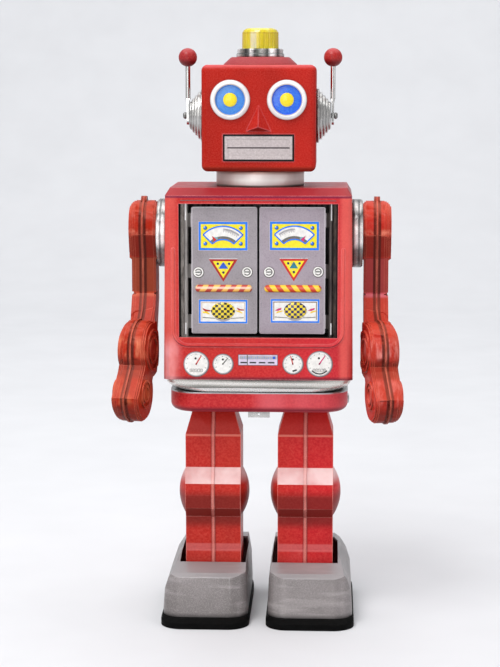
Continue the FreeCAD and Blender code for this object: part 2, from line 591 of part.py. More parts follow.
put("head_cap", revolve([(281.7, 12.0), (281.7, 18.6), (282.1, 18.6), (285.3, 15.1), (285.6, 14.6), (285.6, 8.0), (285.0, 8.0), (285.0, 12.0)],
                        (0, HEAD_CY, 0), (0, 0, 1), (1, 0, 0)))
put("beacon_collar", revolve([(285.65, 8.0), (285.65, 12.1), (287.2, 12.1), (287.5, 11.6), (289.4, 11.6), (289.8, 11.2), (289.8, 8.0)],
                             (0, HEAD_CY, 0), (0, 0, 1), (1, 0, 0)))
ln = revolve([(289.85, 0), (289.85, 9.3), (297.8, 9.2), (299.2, 8.4), (300.0, 7.0), (300.0, 0)], (0, HEAD_CY, 0), (0, 0, 1), (1, 0, 0))
ln = ln.cut(cz(289, 298.4, 0, HEAD_CY, 7.6))
ln = cut(ln, [Part.makeCompound([cz(289.0, 298.6, 9.55 * math.cos(math.radians(15 * k)), HEAD_CY + 9.55 * math.sin(math.radians(15 * k)), 0.62) for k in range(24)])])
put("beacon_lens", solid1(ln))

ears = []
for s in (-1, 1):
    pr = [(HEAD_HW, 0), (HEAD_HW, 13.6), (29.6, 13.7), (30.0, 13.3), (30.0, 12.3), (30.2, 12.1), (31.2, 12.0), (31.6, 11.6), (31.6, 10.6), (31.8, 10.4),
          (32.7, 10.3), (33.1, 9.9), (33.1, 9.0), (33.3, 8.8), (34.1, 8.7), (34.5, 8.3), (34.5, 7.4), (34.7, 7.2), (35.4, 7.1), (35.7, 6.8), (35.9, 6.2),
          (35.9, 1.3), (37.75, 1.3), (37.75, 1.7), (38.7, 1.7), (39.3, 1.1), (39.3, 0)]
    e = revolve(pr, (0, HEAD_CY, EAR_Z), (s, 0, 0), (0, 1, 0))
    x0, x1 = sorted((s * (HEAD_HW - 2.0), s * (HEAD_HW + 0.1)))
    ears.append(fuse([e, cx(x0, x1, HEAD_CY, EAR_Z, 1.6)]))
put("ear_cones", Part.makeCompound(ears))


def antenna(s):
    xa, xb = sorted((s * 36.2, s * 37.4))
    y0, y1 = HEAD_CY - 2.4, HEAD_CY + 2.4
    a = fuse([box(xa, xb, y0, y1, 253.6, 262.4), cx(xa, xb, HEAD_CY, 253.9, 2.4)])
    xm = s * 36.8
    taper = Part.makeLoft([rr_wire(xa, xb, y0, y1, 0.3, 262.3), rr_wire(xm - 1.05, xm + 1.05, HEAD_CY - 1.05, HEAD_CY + 1.05, 0.3, 265.0)], True, True)
    a = fuse([a, taper, cz(264.5, 284.0, xm, HEAD_CY, ROD_R)])
    return a.cut(cx(min(xa, xb) - 1, max(xa, xb) + 1, HEAD_CY, EAR_Z, 1.3 + GAP))


put("antenna_left", solid1(antenna(-1)))
put("antenna_right", solid1(antenna(1)))
for s, n in ((-1, "antenna_ball_left"), (1, "antenna_ball_right")):
    b = Part.makeSphere(4.7, V(s * 36.8, HEAD_CY, 285.5)).cut(cz(278, 284.0, s * 36.8, HEAD_CY, ROD_R))
    put(n, b)

# ---------------------------------------------------------------- shoulders and arms
cols = []
for s in (-1, 1):
    pr = [(47.1, 2.6), (47.1, COLLAR_R), (51.6, COLLAR_R), (52.4, COLLAR_R - 0.8), (52.4, COLLAR_R - 3.0), (51.6, COLLAR_R - 3.6), (51.6, 2.6)]
    c = revolve(pr, (0, 0, COLLAR_Z), (s, 0, 0), (0, 1, 0))
    x0, x1 = sorted((s * 46.9, s * 53))
    c = c.cut(cx(x0, x1, 0, ARM_AXLE_Z, 3.0))
    x0, x1 = sorted((s * 47.9, s * 50.9))
    c = c.cut(cx(x0, x1, 0, COLLAR_Z, COLLAR_R - 1.0).cut(cx(x0, x1, 0, ARM_AXLE_Z, 4.0)))
    cols.append(solid1(c))
put("shoulder_collars", Part.makeCompound(cols))

SH, EL, HN = (0.0, 199.0, 14.0), (-21.0, 138.4, 15.0), (-33.6, 117.8, 13.8)
YB = -15.4
# side outlines of the straight pieces between the round ones, anticlockwise
UNDER = [(-14.15, 196.4), (-9.7, 184.0), (9.7, 184.0), (14.05, 197.2)]
UPPER = [(-9.7, 165.8), (9.7, 165.0), (9.7, 192.0), (-9.7, 192.0)]
FORE = [(-9.7, 165.9), (-19.0, 152.6), (-21.0, 138.0), (-8.8, 131.0), (9.7, 161.5), (9.7, 165.9)]
CHORD = ((-35.4, 131.0), (-47.0, 118.2))


def arm_upper(d, x0, x1):
    return fuse([cx(x0, x1, SH[0], SH[1], SH[2] + d), prism_yz(offset_poly(UNDER, d), x0, x1), prism_yz(offset_poly(UPPER, d), x0, x1),
                 prism_yz(offset_poly(FORE, d), x0, x1)])


def arm_lower(d, x0, x1):
    # the hand disc carries a flat on its upper front
    (ya, za), (yb, zb) = CHORD
    L = math.hypot(yb - ya, zb - za)
    ny, nz = (zb - za) / L, -(yb - ya) / L
    ty, tz = (yb - ya) / L, (zb - za) / L
    a = (ya + ny * d - ty * 3, za + nz * d - tz * 3)
    b = (yb + ny * d + ty * 3, zb + nz * d + tz * 3)
    flat = prism_yz([a, b, (b[0] + ny * 9, b[1] + nz * 9), (a[0] + ny * 9, a[1] + nz * 9)], x0 - 1, x1 + 1)
    hand = cx(x0, x1, HN[0], HN[1], HN[2] + d).cut(flat)
    return fuse([prism_yz(offset_poly(FORE, d), x0, x1), cx(x0, x1, EL[0], EL[1], EL[2] + d),
                 hull2(EL[:2], 8.6 + d, HN[:2], 8.6 + d, x0, x1), hand])


def arm_body(d, x0, x1, yaw):
    # straight upper part, lower part turned outward about a vertical line through the seam
    big = 60.0
    up = arm_upper(d, x0, x1).common(box(-big, 150, YB, big, 90, 230))
    lo = arm_lower(d, x0, x1)
    lo = rot_about_z(lo, ARM_SEAM, YB, yaw)
    lo = lo.common(box(-big, 150, -big - 20, YB, 90, 230))
    lo2 = arm_lower(d, x0, x1).common(box(-big, 150, YB, big, 90, 230))
    up2 = rot_about_z(arm_upper(d, x0, x1), ARM_SEAM, YB, yaw).common(box(-big, 150, -big - 20, YB, 90, 160))
    return fuse([up, lo, lo2, up2])


def waist_cut(face, sg, depth, z1, r, yaw):
    # narrows the arm between shoulder and elbow at its outer faces, the elbow disc stays proud
    w = prism_xz([(face + sg * 2.0, 120.0), (face - sg * depth, 120.0), (face - sg * depth, z1), (face + sg * 2.0, z1 + 1.6)], -25, 20)
    x0, x1 = face - 8.0, face + 8.0
    lo = box(x0, x1, -60, YB, 80, 175)
    keep = [cx(x0, x1, EL[0], EL[1], r).cut(lo), rot_about_z(cx(x0, x1, EL[0], EL[1], r), ARM_SEAM, YB, yaw).common(lo),
            rot_about_z(box(x0, x1, -60, 0, 80, EL[1]), ARM_SEAM, YB, yaw)]
    return cut(w, keep)


def bosses(x, sgn, yaw):
    # raised rings on elbow and hand, raised disc on the shoulder
    out = []
    for c, rings in ((EL, ((10.7, 9.5), (6.9, 5.8))), (HN, ((7.2, 6.1), (4.4, 3.5)))):
        for (ro, ri) in rings:
            x0, x1 = sorted((x - sgn * 0.3, x + sgn * 0.8))
            out.append(cx(x0, x1, c[0], c[1], ro).cut(cx(x0 - 1, x1 + 1, c[0], c[1], ri)))
    g = Part.makeCompound(out)
    front = rot_about_z(g, ARM_SEAM, YB, yaw).common(box(0, 150, -80, YB, 90, 230))
    return fuse([front, g.common(box(0, 150, YB, 20, 90, 230))])


def arm_half(side, yaw):
    # side 'in' or 'out' of the +X arm
    if side == 'in':
        x0, x1, xw0, xw1 = ARM_X0, ARM_SEAM, ARM_X0 + T_PLASTIC, ARM_SEAM + 0.01
        rib = (ARM_SEAM - 0.6, ARM_SEAM)
        face, sg = ARM_X0, -1
    else:
        x0, x1, xw0, xw1 = ARM_SEAM, ARM_X1, ARM_SEAM - 0.01, ARM_X1 - T_PLASTIC
        rib = (ARM_SEAM, ARM_SEAM + 0.6)
        face, sg = ARM_X1, 1
    # stepped edge gives the rounded rim of the moulding
    if side == 'in':
        layers = [arm_body(0, x0 + 1.6, x1, yaw), arm_body(-0.5, x0 + 0.8, x1, yaw), arm_body(-1.3, x0, x1, yaw)]
    else:
        layers = [arm_body(-a, x0, x1 - b, yaw) for a, b in ((0, 3.4), (0.35, 2.3), (0.9, 1.4), (1.7, 0.7), (2.8, 0.0))]
    deep = 1.3 if side == 'out' else 0.7
    o = fuse(layers).cut(waist_cut(face, sg, deep, 183.2, EL[2], yaw))
    xt = (ARM_SEAM - 1.5, ARM_SEAM) if side == 'in' else (ARM_SEAM, ARM_SEAM + 1.5)
    tab = cx(xt[0], xt[1], 0.0, 210.6, 4.6)
    tab2 = rot_about_z(cx(xt[0], xt[1], HN[0] - 1.0, HN[1] - 9.4, 4.2), ARM_SEAM, YB, yaw)
    o = fuse([o, arm_body(0.7, rib[0], rib[1], yaw), tab, tab2])
    o = fuse([o, bosses(face, sg, yaw)])
    i = arm_body(-T_PLASTIC - 1.0, xw0, xw1, yaw).cut(waist_cut(face, sg, deep + T_PLASTIC, 184.6, EL[2] - T_PLASTIC, yaw))
    o = o.cut(i)
    xa, xb = sorted((ARM_SEAM, face - sg * 0.5))
    o = fuse([o, cx(xa, xb, 0, ARM_AXLE_Z, 5.0)])
    if side == 'in':
        o = o.cut(cx(ARM_X0 - 1, ARM_SEAM + 1, 0, ARM_AXLE_Z, 2.5))
    else:
        o = o.cut(cx(ARM_SEAM - 1, ARM_X1 - 2.5, 0, ARM_AXLE_Z, 2.5))
    return solid1(o)


for side, n in (('in', 'inner'), ('out', 'outer')):
    put("arm_right_" + n, arm_half(side, ARM_YAW_R))
    put("arm_left_" + n, mirror_x(arm_half(side, ARM_YAW_L)))
for s, n in ((-1, "arm_axle_left"), (1, "arm_axle_right")):
    pr = [(41.5, 0), (41.5, 2.5), (43.0, 2.5), (43.0, 5.0), (45.2, 5.0), (45.2, 2.5), (64.3, 2.5), (64.3, 0)]
    put(n, revolve(pr, (0, 0, ARM_AXLE_Z), (s, 0, 0), (0, 1, 0)))

# ---------------------------------------------------------------- legs (built for +X)
FRONT = [(-6.1, 112.5), (-7.6, 107.0), (-13.0, 93.2), (-13.0, 76.0), (-17.0, 68.0), (-17.5, 62.0), (-16.4, 55.0), (-13.0, 50.0), (-12.4, 32.5), (-14.2, 22.0), (-15.0, 4.6)]
BACK = [(15.0, 4.6), (14.2, 22.0), (12.4, 32.5), (13.0, 50.0), (13.6, 56.0), (13.6, 70.0), (13.0, 76.0), (13.0, 93.2), (7.6, 107.0), (6.1, 112.5)]


def leg_outline(d):
    top = [(6.2 * math.cos(math.radians(a)), HIP_Z + 6.2 * math.sin(math.radians(a))) for a in (20, 40, 60, 90, 120, 140, 160)]
    pts = FRONT + BACK + top
    return offset_poly(pts, d) if d else pts


def leg_front_outline(d):
    h = LEG_HW
    p = [(LEG_X - h, 4.6), (LEG_X + h, 4.6), (LEG_X + h, 93.2), (LEG_X + 10.5, 106.6), (LEG_X + 10.5, 117.4), (LEG_X - 10.5, 117.4), (LEG_X - 10.5, 106.6), (LEG_X - h, 93.2)]
    return offset_poly(p, d) if d else p


def leg_body(dy, dx, x0, x1):
    return prism_yz(leg_outline(dy), x0, x1).common(prism_xz(leg_front_outline(dx), -30, 30))


def knee_cap(sgn):
    x = LEG_X + sgn * LEG_HW
    R = (13.0 ** 2 + 4.0 ** 2) / 8.0
    pr = [(-1.0, 0), (-1.0, 12.8), (0.0, 13.0)]
    for i in range(1, 9):
        r = 13.0 * (1 - i / 8.0)
        pr.append((math.sqrt(R * R - r * r) - (R - 4.0), r))
    return revolve(pr, (x, -2.0, 61.8), (sgn, 0, 0), (0, 1, 0))


def leg_half(side):
    if side == 'in':
        x0, x1, sg = LEG_X - 15, LEG_X, -1
        rib = (LEG_X - 0.6, LEG_X)
        cav = (LEG_X - 15, LEG_X + 0.01)
    else:
        x0, x1, sg = LEG_X, LEG_X + 15, 1
        rib = (LEG_X, LEG_X + 0.6)
        cav = (LEG_X - 0.01, LEG_X + 15)
    o = leg_body(0, 0, x0, x1)
    r = prism_yz(leg_outline(0.7), rib[0], rib[1]).cut(box(0, 60, -30, 30, 107.5, 130)).cut(box(0, 60, -30, 30, 0, 4.6))
    o = fuse([o, r, knee_cap(sg)])
    i = leg_body(-T_PLASTIC, -T_PLASTIC, cav[0], cav[1])
    bx0, bx1 = (LEG_X - 11.9, LEG_X + 0.01) if side == "in" else (LEG_X - 0.01, LEG_X + 11.9)
    o = o.cut(i).cut(box(bx0, bx1, -13.5, 13.5, 4.0, 7.0))
    face = LEG_X + sg * 10.5
    xa, xb = sorted((LEG_X, face - sg * 0.4))
    o = fuse([o, cx(xa, xb, 0, HIP_Z, 3.6)])
    o = o.cut(cx(xa - 3, xb + 3, 0, HIP_Z, 1.5 + GAP))
    if side == 'in':
        o = o.cut(box(13.0, 15.0, -0.9, 0.9, 113.6, 118.0))
    return solid1(o)


for side, n in (('in', 'inner'), ('out', 'outer')):
    a = leg_half(side)
    put("leg_right_" + n, a)
    put("leg_left_" + n, mirror_x(a))

# ---------------------------------------------------------------- feet
def foot_solid(d):
    yz = [(-50.0, 4.6), (35.0, 4.6), (34.6, 22.0), (32.8, 28.6), (29.0, 31.4), (9.0, 31.4), (-17.0, 27.2), (-33.5, 25.4), (-36.3, 23.9), (-50.0, 12.6)]
    xz = [(4.9, 4.6), (48.3, 4.6), (47.5, 17.0), (45.4, 23.2), (41.9, 28.4), (39.0, 31.4), (7.4, 31.4), (5.6, 22.0)]
    if d:
        yz = offset_poly(yz, -d)
        xz = offset_poly(xz, -d)
    a = prism_yz(yz, 0, 60).common(prism_xz(xz, -60, 60))
    f = rr_loft([(5.0 + d, 48.2 - d, -42.3 + d, 35.1 - d, 8.9 - d, 3.6), (5.2 + d, 47.8 - d, -34.4 + d, 34.4 - d, 9.6 - d, 32.0)])
    return a.common(f)


ft = foot_solid(0)
fi = foot_solid(1.0)
fib = fi.copy()
fib.translate(V(0, 0, -1.5))
ft = ft.cut(fi).cut(fib)
ft = ft.cut(box(LEG_X - 17.0, LEG_X + 17.0, -18.0, 19.5, 20, 40))
ft = solid1(ft)
put("foot_right", ft)
put("foot_left", mirror_x(ft))

so = rr_loft([(4.2, 49.0, -48.0, 36.0, 11.0, 0.0), (4.2, 49.0, -48.0, 36.0, 11.0, 3.0), (4.6, 48.7, -44.6, 35.6, 9.6, 4.6)])
ROL_Y, ROL_Z, ROL_R = -22.0, 6.3, 6.0
so = so.cut(box(LEG_X - 5.2, LEG_X + 5.2, ROL_Y - 6.6, ROL_Y + 6.6, -1, 8))
brk = [box(LEG_X + s * 6.2 - 0.5, LEG_X + s * 6.2 + 0.5, ROL_Y - 3, ROL_Y + 3, 4.5, 9.0) for s in (-1, 1)]
so = fuse([so] + brk)
axle = cx(LEG_X - 7.4, LEG_X + 7.4, ROL_Y, ROL_Z, 1.0)
so = fuse([so, axle])
# leg foot locating rim
so = fuse([so, box(LEG_X - 11.7, LEG_X + 11.7, -13.0, 13.0, 4.5, 6.6).cut(box(LEG_X - 10.4, LEG_X + 10.4, -11.6, 11.6, 4.6, 8))])
so = solid1(so)
put("sole_right", so)
put("sole_left", mirror_x(so))

ro = revolve([(-4.6, 1.0 + GAP), (-4.6, ROL_R - 0.5), (-4.1, ROL_R), (4.1, ROL_R), (4.6, ROL_R - 0.5), (4.6, 1.0 + GAP)], (LEG_X, ROL_Y, ROL_Z), (1, 0, 0), (0, 1, 0))
put("roller_right", ro)
put("roller_left", mirror_x(ro))

for n, s in NODES.items():
    s.exportStep("parts/%s.step" % n)
bb = Part.makeCompound(list(NODES.values())).BoundBox
print("NODES", len(NODES), "box", [round(v, 3) for v in (bb.XMin, bb.XMax, bb.YMin, bb.YMax, bb.ZMin, bb.ZMax)])
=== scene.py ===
import bpy
import bmesh
import math
import random
from mathutils import Vector, Matrix, noise


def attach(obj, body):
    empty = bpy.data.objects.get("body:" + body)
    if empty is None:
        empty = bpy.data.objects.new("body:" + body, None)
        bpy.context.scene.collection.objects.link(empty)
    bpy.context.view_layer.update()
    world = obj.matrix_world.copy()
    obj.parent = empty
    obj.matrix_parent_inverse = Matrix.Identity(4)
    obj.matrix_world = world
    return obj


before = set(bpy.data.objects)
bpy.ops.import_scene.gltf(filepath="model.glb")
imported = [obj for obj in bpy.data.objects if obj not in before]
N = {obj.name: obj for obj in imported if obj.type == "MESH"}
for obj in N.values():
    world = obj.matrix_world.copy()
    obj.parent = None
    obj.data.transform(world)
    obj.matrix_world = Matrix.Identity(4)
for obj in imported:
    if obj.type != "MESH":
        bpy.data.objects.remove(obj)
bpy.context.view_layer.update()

MM = 0.001
random.seed(7)

# ---------------------------------------------------------------- materials
class M:
    """Small helper round one node material."""

    def __init__(self, name):
        self.mat = bpy.data.materials.new(name)
        self.mat.use_nodes = True
        self.nt = self.mat.node_tree
        self.b = self.nt.nodes["Principled BSDF"]
        self.tc = self.nt.nodes.new("ShaderNodeTexCoord")
        self.sep = self.nt.nodes.new("ShaderNodeSeparateXYZ")
        self.nt.links.new(self.tc.outputs["Object"], self.sep.inputs[0])

    def link(self, a, b):
        self.nt.links.new(a, b)

    def set(self, **k):
        for n, v in k.items():
            self.b.inputs[n.replace("_", " ")].default_value = v
        return self

    def noise(self, scale, detail=4, rough=0.6, stretch=None):
        n = self.nt.nodes.new("ShaderNodeTexNoise")
        n.inputs["Scale"].default_value = scale
        n.inputs["Detail"].default_value = detail
        n.inputs["Roughness"].default_value = rough
        if stretch:
            m = self.nt.nodes.new("ShaderNodeMapping")
            m.inputs["Scale"].default_value = stretch
            self.link(self.tc.outputs["Object"], m.inputs[0])
            self.link(m.outputs[0], n.inputs[0])
        else:
            self.link(self.tc.outputs["Object"], n.inputs[0])
        return n.outputs["Fac"]

    def ramp(self, fac, stops, mode="LINEAR"):
        r = self.nt.nodes.new("ShaderNodeValToRGB")
        r.color_ramp.interpolation = mode
        el = r.color_ramp.elements
        while len(el) > 1:
            el.remove(el[-1])
        el[0].position = stops[0][0]
        el[0].color = (*stops[0][1], 1)
        for p, c in stops[1:]:
            e = el.new(p)
            e.color = (*c, 1)
        self.link(fac, r.inputs[0])
        return r.outputs[0]

    def mapr(self, v, a, b, c=0.0, d=1.0, smooth=False):
        m = self.nt.nodes.new("ShaderNodeMapRange")
        if smooth:
            m.interpolation_type = "SMOOTHSTEP"
        m.inputs["From Min"].default_value = a
        m.inputs["From Max"].default_value = b
        m.inputs["To Min"].default_value = c
        m.inputs["To Max"].default_value = d
        self.link(v, m.inputs["Value"])
        return m.outputs[0]

    def math(self, op, a, b=None, c=None):
        m = self.nt.nodes.new("ShaderNodeMath")
        m.operation = op
        for i, v in enumerate((a, b, c)):
            if v is None:
                continue
            if hasattr(v, "links") or hasattr(v, "is_linked"):
                self.link(v, m.inputs[i])
            else:
                m.inputs[i].default_value = v
        return m.outputs[0]

    def mix(self, fac, a, b, mode="MIX"):
        m = self.nt.nodes.new("ShaderNodeMix")
        m.data_type = "RGBA"
        m.blend_type = mode
        for v, s in ((fac, m.inputs[0]), (a, m.inputs[6]), (b, m.inputs[7])):
            if hasattr(v, "is_linked"):
                self.link(v, s)
            elif isinstance(v, (tuple, list)):
                s.default_value = (*v, 1) if len(v) == 3 else v
            else:
                s.default_value = v
        return m.outputs[2]

    def col(self, c):
        if isinstance(c, (tuple, list)):
            self.b.inputs["Base Color"].default_value = (*c, 1)
        else:
            self.link(c, self.b.inputs["Base Color"])
        return self

    def rough(self, v):
        self.link(v, self.b.inputs["Roughness"])
        return self

    def bump(self, h, strength=0.2, dist=0.0002):
        bm = self.nt.nodes.new("ShaderNodeBump")
        bm.inputs["Strength"].default_value = strength
        bm.inputs["Distance"].default_value = dist
        self.link(h, bm.inputs["Height"])
        self.link(bm.outputs[0], self.b.inputs["Normal"])
        return self

    def x(self):
        return self.sep.outputs[0]

    def y(self):
        return self.sep.outputs[1]

    def z(self):
        return self.sep.outputs[2]


def lin(r, g, b):
    """sRGB 0-255 to linear."""
    o = []
    for v in (r, g, b):
        v /= 255.0
        o.append(v / 12.92 if v <= 0.04045 else ((v + 0.055) / 1.055) ** 2.4)
    return tuple(o)


def enamel(name, left, right, gx=(-0.05, 0.055), up=None, up_amt=0.6, up_rng=(0.25, 0.8), down=None, down_amt=0.7, down_rng=(0.05, 0.6),
           grain=900, rough=0.42, coat=0.12, fleck=0.3, edge=None, edge_amt=0.5, edge_r=0.0008, spec=0.16, up_z=None, extra=None):
    """Painted or moulded red: speckle, cloudy darker patches, hue drift along X; painted highlight on upward faces and
    along edges, painted shade on downward faces.
    """
    m = M(name)
    g = m.mapr(m.x(), gx[0], gx[1], 0, 1, True)
    g = m.math("ADD", g, m.mapr(m.noise(21, 2, 0.5), 0.3, 0.7, -0.22, 0.22))
    base = m.mix(m.mapr(g, 0, 1), left, right)
    cloud = m.noise(45, 4, 0.6)
    base = m.mix(m.mapr(cloud, 0.3, 0.7, 0.0, 0.35), base, m.mix(0.5, base, (0.0, 0.0, 0.0)))
    sp = m.noise(grain, 2, 0.75)
    base = m.mix(m.math("MULTIPLY", m.mapr(sp, 0.42, 0.75), fleck), base, m.mix(0.35, base, lin(250, 150, 130)))
    base = m.mix(m.math("MULTIPLY", m.mapr(sp, 0.5, 0.25), fleck), base, m.mix(0.6, base, (0.02, 0.0, 0.0)))
    if extra:
        base = extra(m, base)
    geo = m.nt.nodes.new("ShaderNodeNewGeometry")
    sn = m.nt.nodes.new("ShaderNodeSeparateXYZ")
    m.link(geo.outputs["Normal"], sn.inputs[0])
    nz = sn.outputs[2]
    # painted highlight: upward-facing surfaces lightened
    if up is not None:
        f = m.math("MULTIPLY", m.mapr(nz, up_rng[0], up_rng[1], 0, 1, True), m.mapr(m.noise(60, 3, 0.6), 0.25, 0.6, 0.45, 1.0))
        if up_z is not None:
            f = m.math("MULTIPLY", f, m.mapr(m.z(), up_z, up_z - 0.0008))
        base = m.mix(m.math("MULTIPLY", f, up_amt), base, up)
    # painted shade: downward-facing surfaces darkened
    if down is not None:
        f = m.mapr(nz, -down_rng[0], -down_rng[1], 0, 1, True)
        base = m.mix(m.math("MULTIPLY", f, down_amt), base, down)
    # painted highlight along edges, found with the Bevel node
    if edge is not None:
        bv = m.nt.nodes.new("ShaderNodeBevel")
        bv.samples = 6
        bv.inputs["Radius"].default_value = edge_r
        dp = m.nt.nodes.new("ShaderNodeVectorMath")
        dp.operation = "DOT_PRODUCT"
        m.link(bv.outputs[0], dp.inputs[0])
        m.link(geo.outputs["Normal"], dp.inputs[1])
        f = m.mapr(dp.outputs["Value"], 0.995, 0.93)
        f = m.math("MULTIPLY", f, m.mapr(m.noise(130, 3, 0.6), 0.3, 0.6, 0.35, 1.0))
        base = m.mix(m.math("MULTIPLY", f, edge_amt), base, edge)
    m.col(base)
    m.rough(m.mapr(m.noise(120, 4, 0.6), 0.3, 0.7, rough - 0.06, rough + 0.1))
    m.bump(sp, 0.1, 0.00012)
    m.set(Coat_Weight=coat, Coat_Roughness=0.2, Specular_IOR_Level=spec)
    return m


def metal(name, c, rough=0.15, streak=(1, 1, 1), var=0.12, dark=0.45, metallic=1.0, scale=60, grain=0.02, ao=0.0, ao_d=0.003, extra=None):
    m = M(name)
    s = m.noise(scale, 4, 0.6, streak)
    base = m.mix(m.mapr(s, 0.35, 0.7), tuple(v * dark for v in c), c)
    if extra:
        base = extra(m, base)
    # painted shade: crevices darkened through the ambient occlusion node
    if ao:
        a = m.nt.nodes.new("ShaderNodeAmbientOcclusion")
        a.samples = 6
        a.inputs["Distance"].default_value = ao_d
        base = m.mix(m.math("MULTIPLY", m.math("SUBTRACT", 1.0, m.mapr(a.outputs["AO"], 0.2, 0.95)), ao), base, (0.012, 0.012, 0.013))
    m.col(base)
    m.rough(m.mapr(m.noise(400, 3, 0.6), 0.3, 0.7, rough, rough + var))
    m.bump(m.noise(1600, 2, 0.6), grain * 5, 0.0001)
    m.set(Metallic=metallic)
    return m


def band(m, v, a, b, soft):
    """1 inside a..b with soft ends."""
    return m.math("MULTIPLY", m.mapr(v, a - soft, a, 0, 1, True), m.mapr(v, b, b + soft, 1, 0, True))


def torso_extra(m, c):
    ax = m.math("ABSOLUTE", m.x())
    # painted highlight: pale streaks near the side edges
    c = m.mix(m.math("MULTIPLY", m.mapr(ax, 0.0395, 0.0425, 0, 0.55, True), m.mapr(m.noise(40, 3, 0.6, (1, 1, 0.2)), 0.3, 0.6)), c, lin(236, 112, 100))
    c = m.mix(m.math("MULTIPLY", m.mapr(m.z(), 0.2163, 0.2176, 0, 1), 0.85), c, lin(126, 22, 30))
    c = m.mix(m.math("MULTIPLY", band(m, m.z(), 0.2164, 0.2170, 0.0006), 0.7), c, lin(104, 22, 64))
    c = m.mix(m.math("MULTIPLY", m.mapr(m.z(), 0.1268, 0.1252, 0, 1), 0.85), c, lin(74, 18, 44))
    # painted highlight: pinkish-white patches low on the left of the front
    low = m.math("MULTIPLY", m.mapr(m.z(), 0.150, 0.136, 0, 1, True), m.math("MULTIPLY", m.mapr(m.x(), -0.036, -0.044, 0, 1, True), m.mapr(m.y(), -0.0285, -0.0305)))
    c = m.mix(m.math("MULTIPLY", low, m.mapr(m.noise(90, 3, 0.6, (1, 1, 0.5)), 0.35, 0.6, 0.1, 0.85)), c, lin(246, 170, 172))
    return c


def pelvis_extra(m, c):
    s = m.mapr(m.noise(26, 2, 0.5, (1, 1, 0.05)), 0.52, 0.66)
    c = m.mix(m.math("MULTIPLY", s, 0.45), c, lin(240, 120, 130))
    return m.mix(m.math("MULTIPLY", band(m, m.z(), 0.1084, 0.1088, 0.0003), 0.6), c, lin(110, 16, 34))


def front_of(m):
    """1 on faces that look forward, 0 on faces that look sideways, in the piece's own axes."""
    t = m.nt.nodes.new("ShaderNodeTexCoord")
    sp = m.nt.nodes.new("ShaderNodeSeparateXYZ")
    m.link(t.outputs["Normal"], sp.inputs[0])
    return m.mapr(sp.outputs[1], -0.1, -0.45)


def arm_extra(m, c):
    fr = front_of(m)
    ax = m.math("SUBTRACT", m.math("ABSOLUTE", m.x()), 0.059675)
    dy = m.math("MINIMUM", m.math("ADD", m.y(), 0.0154), 0.0)
    d = m.math("ADD", ax, m.math("MULTIPLY", dy, math.sin(math.radians(12.0))))
    left = m.mapr(m.x(), 0.0, -0.001)
    # painted shade: brownish band on the front of the upper arm
    c = m.mix(m.math("MULTIPLY", band(m, m.z(), 0.1672, 0.1840, 0.0008), m.math("ADD", m.math("MULTIPLY", fr, 0.5), 0.2)), c, m.mix(left, lin(140, 62, 64), lin(132, 68, 44)))
    # painted shade on the under-slope of the shoulder
    c = m.mix(m.math("MULTIPLY", band(m, m.z(), 0.1855, 0.1955, 0.0006), m.math("MULTIPLY", fr, 0.5)), c, lin(132, 34, 18))
    # painted highlight along the shoulder's crease
    c = m.mix(m.math("MULTIPLY", m.mapr(m.math("ABSOLUTE", m.math("SUBTRACT", m.z(), 0.1975)), 0.0022, 0.0002), m.math("MULTIPLY", fr, m.mapr(m.noise(220, 3, 0.6), 0.4, 0.65, 0, 0.7))), c, lin(246, 160, 130))
    # painted highlight along the crease where the forearm slope begins
    c = m.mix(m.math("MULTIPLY", m.mapr(m.math("ABSOLUTE", m.math("SUBTRACT", m.z(), 0.1655)), 0.0016, 0.0003), m.math("MULTIPLY", fr, 0.45)), c, m.mix(left, lin(246, 150, 176), lin(226, 120, 80)))
    # painted shade under the elbow
    c = m.mix(m.math("MULTIPLY", band(m, m.z(), 0.1282, 0.1338, 0.0028), m.math("MULTIPLY", fr, 0.5)), c, lin(104, 32, 16))
    # painted highlight: light streaks on the front of the elbow
    c = m.mix(m.math("MULTIPLY", band(m, m.z(), 0.1385, 0.1440, 0.004), m.mapr(m.noise(160, 3, 0.6, (2, 1, 0.5)), 0.42, 0.68, 0, 0.65)), c, m.mix(left, lin(250, 170, 160), lin(238, 148, 108)))
    # painted highlight on the upper facet of the hand
    c = m.mix(m.math("MULTIPLY", band(m, m.z(), 0.1160, 0.1250, 0.003), m.mapr(m.noise(120, 3, 0.6, (2, 1, 0.5)), 0.42, 0.7, 0, 0.5)), c, m.mix(left, lin(250, 160, 150), lin(232, 130, 84)))
    ad = m.math("ABSOLUTE", d)
    # painted shadow beside the seam rib
    c = m.mix(m.math("MULTIPLY", band(m, ad, 0.0005, 0.0016, 0.0006), 0.85), c, lin(66, 20, 14))
    # painted highlight on the seam rib
    return m.mix(m.math("MULTIPLY", m.mapr(ad, 0.00042, 0.00028), m.mapr(m.noise(90, 3, 0.6), 0.42, 0.66, 0.0, 0.38)), c, lin(232, 130, 104))


def leg_extra(m, c):
    ad = m.math("ABSOLUTE", m.math("SUBTRACT", m.math("ABSOLUTE", m.x()), 0.0238))
    # painted shade on the lower curve of the knee
    c = m.mix(m.math("MULTIPLY", band(m, m.z(), 0.0480, 0.0600, 0.006), 0.68), c, lin(92, 20, 12))
    c = m.mix(m.mapr(m.z(), 0.0925, 0.0934, 0, 0.5), c, lin(186, 40, 30))
    # painted highlight along the thigh crease
    c = m.mix(m.math("MULTIPLY", band(m, m.z(), 0.0924, 0.0932, 0.0003), 0.5), c, lin(244, 150, 130))
    c = m.mix(m.math("MULTIPLY", band(m, m.z(), 0.0320, 0.0350, 0.001), 0.3), c, lin(240, 150, 150))
    # painted shade beside the seam rib
    c = m.mix(m.math("MULTIPLY", band(m, ad, 0.0006, 0.0012, 0.0004), 0.35), c, lin(120, 28, 22))
    # painted highlight on the seam rib
    c = m.mix(m.math("MULTIPLY", m.mapr(ad, 0.00058, 0.0004), 0.5), c, lin(208, 120, 108))
    return c


